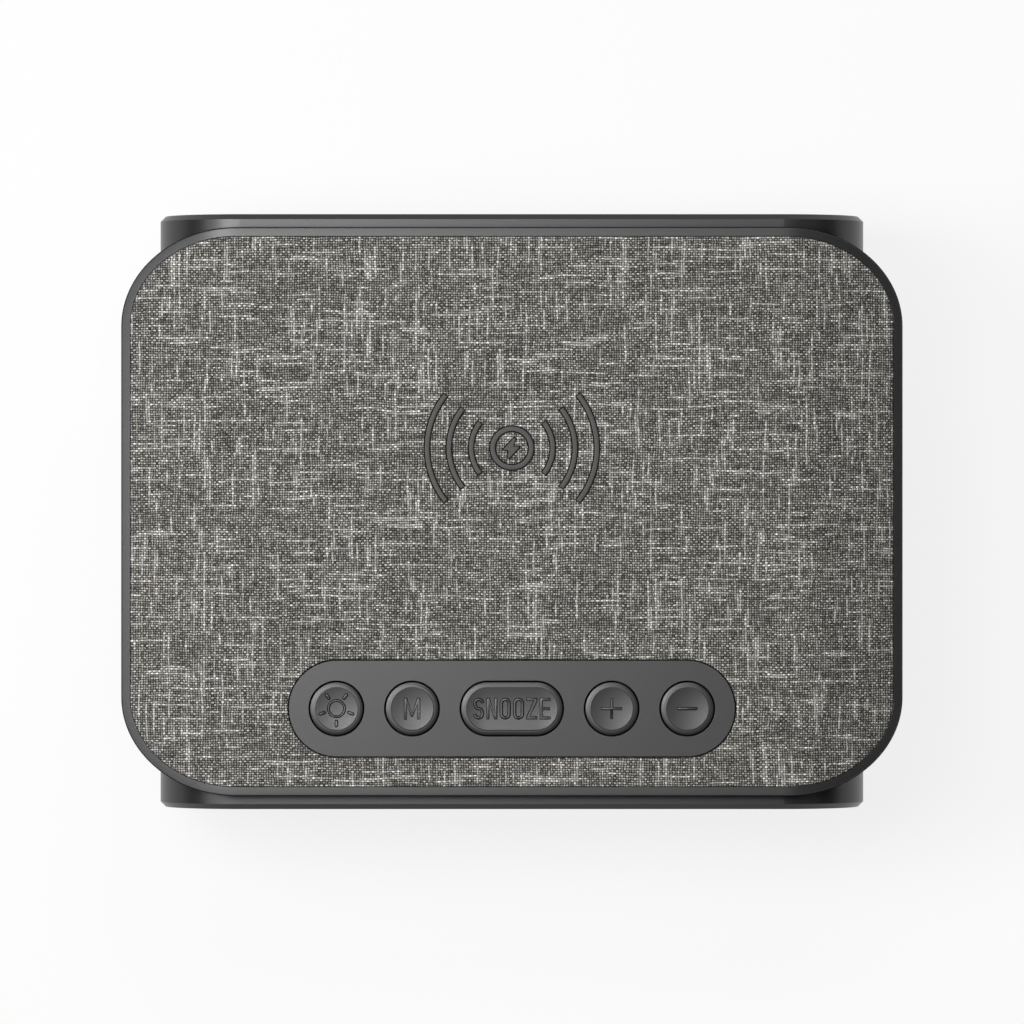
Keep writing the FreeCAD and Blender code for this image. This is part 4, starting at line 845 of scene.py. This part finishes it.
def buildPictogram():
    y, half, steps = pictogram["y"], pictogram["halfDeg"], pictogram["arcSteps"]
    loops = [circleLoop(0, y, pictogram["ringOuter"]), circleLoop(0, y, pictogram["ringInner"])]
    loops.append([(px, y + py) for px, py in pictogram["bolt"]])
    for radius in pictogram["arcs"]:
        for middle in (0, 180):
            outer, inner = (circleLoop(0, y, radius + side * pictogram["stroke"] / 2, steps, middle - half,
                                       middle + half) for side in (1, -1))
            loops.append(outer + inner[::-1])
    fabricTop = trayTop - fabric["sunk"]
    piece = curvePiece("chargeSign", loops, fabricTop, pictogram["thick"], pictogram["edge"],
                       finishes["siliconeInkScreenPrinted"], 2, pictogram["outline"])
    # a black line of painted shadow round the sign's foot
    line = outlinePiece("chargeSignShadeLine", loops, fabricTop + pictogram["outlineUp"], pictogram["outline"],
                        finishes["paintedShadeBlack"])
    for part in (piece, line):
        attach(part, "case")
    return piece


buildPictogram()
print("fabric and sign built")


# Feet

feet = {
    "radius": 6.0, "edge": 0.6, "height": 3.0, "steps": 64,
    "dimple": 0.25, "dimpleRadius": 4.2, "dimpleSlope": 0.4,
}


def buildFeet():
    low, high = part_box("feet")
    r, e, dimple, steps = feet["radius"], feet["edge"], feet["dimpleRadius"], feet["steps"]
    profile = [(0.0, feet["dimple"]), (dimple - feet["dimpleSlope"], feet["dimple"]), (dimple, 0.0)]
    profile += roundedStep((r - e, 0), (r, e), (r, 0), 5)
    profile += [(r, feet["height"]), (0.0, feet["height"])]
    turns = [2 * math.pi * i / steps for i in range(steps)]
    verts, faces = [], []
    for x in (low.x / mm + r, high.x / mm - r):
        for y in (low.y / mm + r, high.y / mm - r):
            rings = [[Vector((x + out * math.cos(a), y + out * math.sin(a), z)) * mm for a in turns]
                     for out, z in profile]
            footVerts, footFaces = bridgeRings(rings)
            faces += [tuple(i + len(verts) for i in face) for face in footFaces]
            verts += footVerts
    piece = meshPiece("rubberFeet", verts, faces, finishes["rubberMouldedBlack"])
    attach(piece, "case")
    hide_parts("feet")
    return piece


buildFeet()


# Rear cover screws: round heads with rounded edges and a cross recess

rearScrews = {
    "radius": 2.4, "thick": 0.7, "edge": 0.25, "slot": 0.42, "slotLength": 1.25, "recess": 0.55,
    "floorMore": 0.3, "floorThick": 0.1, "floorEdge": 0.02,
    "turnX": 17, "turnZ": 29,  # degrees: each screw stopped at its own angle
}


def buildRearScrews():
    low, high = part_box("rear_cover_screws")
    r, finish = rearScrews["radius"], finishes["steelBlackOxide"]
    cross = crossLoop(rearScrews["slotLength"], rearScrews["slot"])
    floorLoop = circleLoop(0, 0, rearScrews["slotLength"] + rearScrews["floorMore"])
    for sx in (-1, 1):
        for sz in (-1, 1):
            x = (high.x if sx > 0 else low.x) / mm - sx * r
            z = (high.z if sz > 0 else low.z) / mm - sz * r
            turn = math.radians(rearScrews["turnX"] * sx + rearScrews["turnZ"] * sz)
            name = "rearScrew" + ("Right" if sx > 0 else "Left") + ("Top" if sz > 0 else "Low")
            thick, floorThick = rearScrews["thick"], rearScrews["floorThick"]
            head = curvePiece(name, [circleLoop(0, 0, r), turnedLoop(cross, 0, 0, turn)], -thick / 2, thick,
                              rearScrews["edge"], finish, 3)
            floor = curvePiece(name + "Floor", [floorLoop], -rearScrews["recess"] - floorThick, floorThick,
                               rearScrews["floorEdge"], finish, 1)
            for piece in (head, floor):
                for vertex in piece.data.vertices:  # the face turns from up to the rear
                    px, py, pz = vertex.co
                    vertex.co = Vector((px + x * mm, pz + high.y, -py + z * mm))
                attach(piece, "case")
    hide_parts("rear_cover_screws")


buildRearScrews()
print("feet and rear screws built")


# Floor, light and camera

studio = {
    "floor": "#f4f4f3", "floorSize": 80.0, "floorRough": 0.9,
    "glowNear": 0.84, "shadowReach": (0.25, 1.2),  # the floor's glow near by; metres to its plain white
    "cameraHeight": 1.5, "viewWidth": 196.5, "sensor": 36.0,  # metres, mm at the tray's top, mm
    "middlePixel": 512, "centrePixel": (511.9, 511.6), "pixel": 0.1919,  # the object's middle; mm a pixel
    "ambient": 0.03, "skyline": 0.09, "skylineFade": 1.5,
}


def backgroundRay(tree):  # 1 for the rays that show the background, to the eye, off metal or in glass
    path = addNode(tree, "LightPath").outputs
    seen = path["Is Camera Ray"]
    for other in ("Is Glossy Ray", "Is Transmission Ray"):
        seen = addNode(tree, "Math", {"operation": "MAXIMUM"}, links={0: seen, 1: path[other]}).outputs[0]
    return seen


def buildFloor():  # white paper: near the object it still shows the lamps' light, and so the object's shadow
    half = studio["floorSize"] / 2
    material, tree, shader = newMaterial("paperBackdropMatt")
    shader.inputs["Base Color"].default_value = hexColour(studio["floor"])
    shader.inputs["Roughness"].default_value = studio["floorRough"]
    glow = addNode(tree, "Emission", values={"Strength": 1.0})
    place = addNode(tree, "TexCoord").outputs["Object"]
    away = addNode(tree, "VectorMath", {"operation": "LENGTH"}, links={0: place}).outputs["Value"]
    near, far = studio["shadowReach"]
    white = addNode(tree, "MapRange", links={"Value": away},
                    values={"From Min": near, "From Max": far, "To Min": studio["glowNear"], "To Max": 1.0})
    share = addNode(tree, "Math", {"operation": "MULTIPLY"},
                    links={0: backgroundRay(tree), 1: white.outputs["Result"]})
    mix = addNode(tree, "MixShader", links={0: share.outputs[0], 1: shader.outputs[0], 2: glow.outputs[0]})
    tree.links.new(mix.outputs[0], tree.nodes["Material Output"].inputs["Surface"])
    corners = [(-half, -half, 0), (half, -half, 0), (half, half, 0), (-half, half, 0)]
    piece = meshPiece("floor", corners, [(0, 1, 2, 3)], material, False)


lamps = {  # degrees from straight up towards +X and +Y, metres away, size across and along in metres, watts
    "keySoftbox": dict(tilt=(-16.5, 6), reach=0.5, size=(0.1, 0.3), watts=1.2),
    "keyFill": dict(tilt=(-38, 0), reach=0.5, size=(0.1, 0.3), watts=0.6),
    "overheadSoftbox": dict(tilt=(-16.5, 6), reach=0.9, size=(0.24, 0.5), watts=1.95),
    "leftSoftbox": dict(tilt=(-42, 0), reach=0.9, size=(0.16, 0.5), watts=0.7),
    "rightReflector": dict(tilt=(40, 0), reach=0.9, size=(0.16, 0.5), watts=0.16),
    "rearSoftbox": dict(tilt=(0, 30), reach=0.9, size=(0.5, 0.2), watts=2.0),
}


def buildLamp(name, look):
    light = bpy.data.lights.new(name, "AREA")
    light.shape = "RECTANGLE"
    light.size, light.size_y = look["size"]
    light.energy = look["watts"]
    lamp = bpy.data.objects.new(name, light)
    aside, back = (math.tan(math.radians(degrees)) for degrees in look["tilt"])
    middle = Vector((0, 0, trayTop * mm))
    lamp.location = middle + Vector((aside, back, 1)).normalized() * look["reach"]
    lamp.rotation_euler = (middle - lamp.location).to_track_quat("-Z", "Y").to_euler()
    lamp.visible_camera = False
    bpy.context.scene.collection.objects.link(lamp)


def buildCamera():
    data = bpy.data.cameras.new("camera")
    data.sensor_width = studio["sensor"]
    data.lens = studio["sensor"] * studio["cameraHeight"] / (studio["viewWidth"] * mm)
    camera = bpy.data.objects.new("camera", data)
    x = (studio["middlePixel"] - studio["centrePixel"][0]) * studio["pixel"]
    y = (studio["centrePixel"][1] - studio["middlePixel"]) * studio["pixel"]
    camera.location = (x * mm, y * mm, trayTop * mm + studio["cameraHeight"])
    bpy.context.scene.collection.objects.link(camera)
    bpy.context.scene.camera = camera


def buildWorld():  # a dim room whose skyline is as white as the floor, so that a low view has no dark band
    world = bpy.data.worlds.new("studio")
    bpy.context.scene.world = world
    world.use_nodes = True
    tree = world.node_tree
    room = tree.nodes["Background"]
    room.inputs["Color"].default_value = (1, 1, 1, 1)
    room.inputs["Strength"].default_value = studio["ambient"]
    place = addNode(tree, "TexCoord").outputs["Generated"]
    height = addNode(tree, "SeparateXYZ", links={0: place}).outputs["Z"]
    near, far = studio["skyline"], studio["skyline"] * studio["skylineFade"]
    low = addNode(tree, "MapRange", values={"From Min": near, "From Max": far, "To Min": 1.0, "To Max": 0.0},
                  links={"Value": height})
    share = addNode(tree, "Math", {"operation": "MULTIPLY"},
                    links={0: backgroundRay(tree), 1: low.outputs["Result"]})
    skyline = addNode(tree, "Background", values={"Strength": 1.0})
    mix = addNode(tree, "MixShader", links={0: share.outputs[0], 1: room.outputs[0], 2: skyline.outputs[0]})
    tree.links.new(mix.outputs[0], tree.nodes["World Output"].inputs["Surface"])


buildFloor()
for lampName, lampLook in lamps.items():
    buildLamp(lampName, lampLook)
buildCamera()
buildWorld()
bpy.context.scene.view_settings.view_transform = "Standard"

print("studio set")
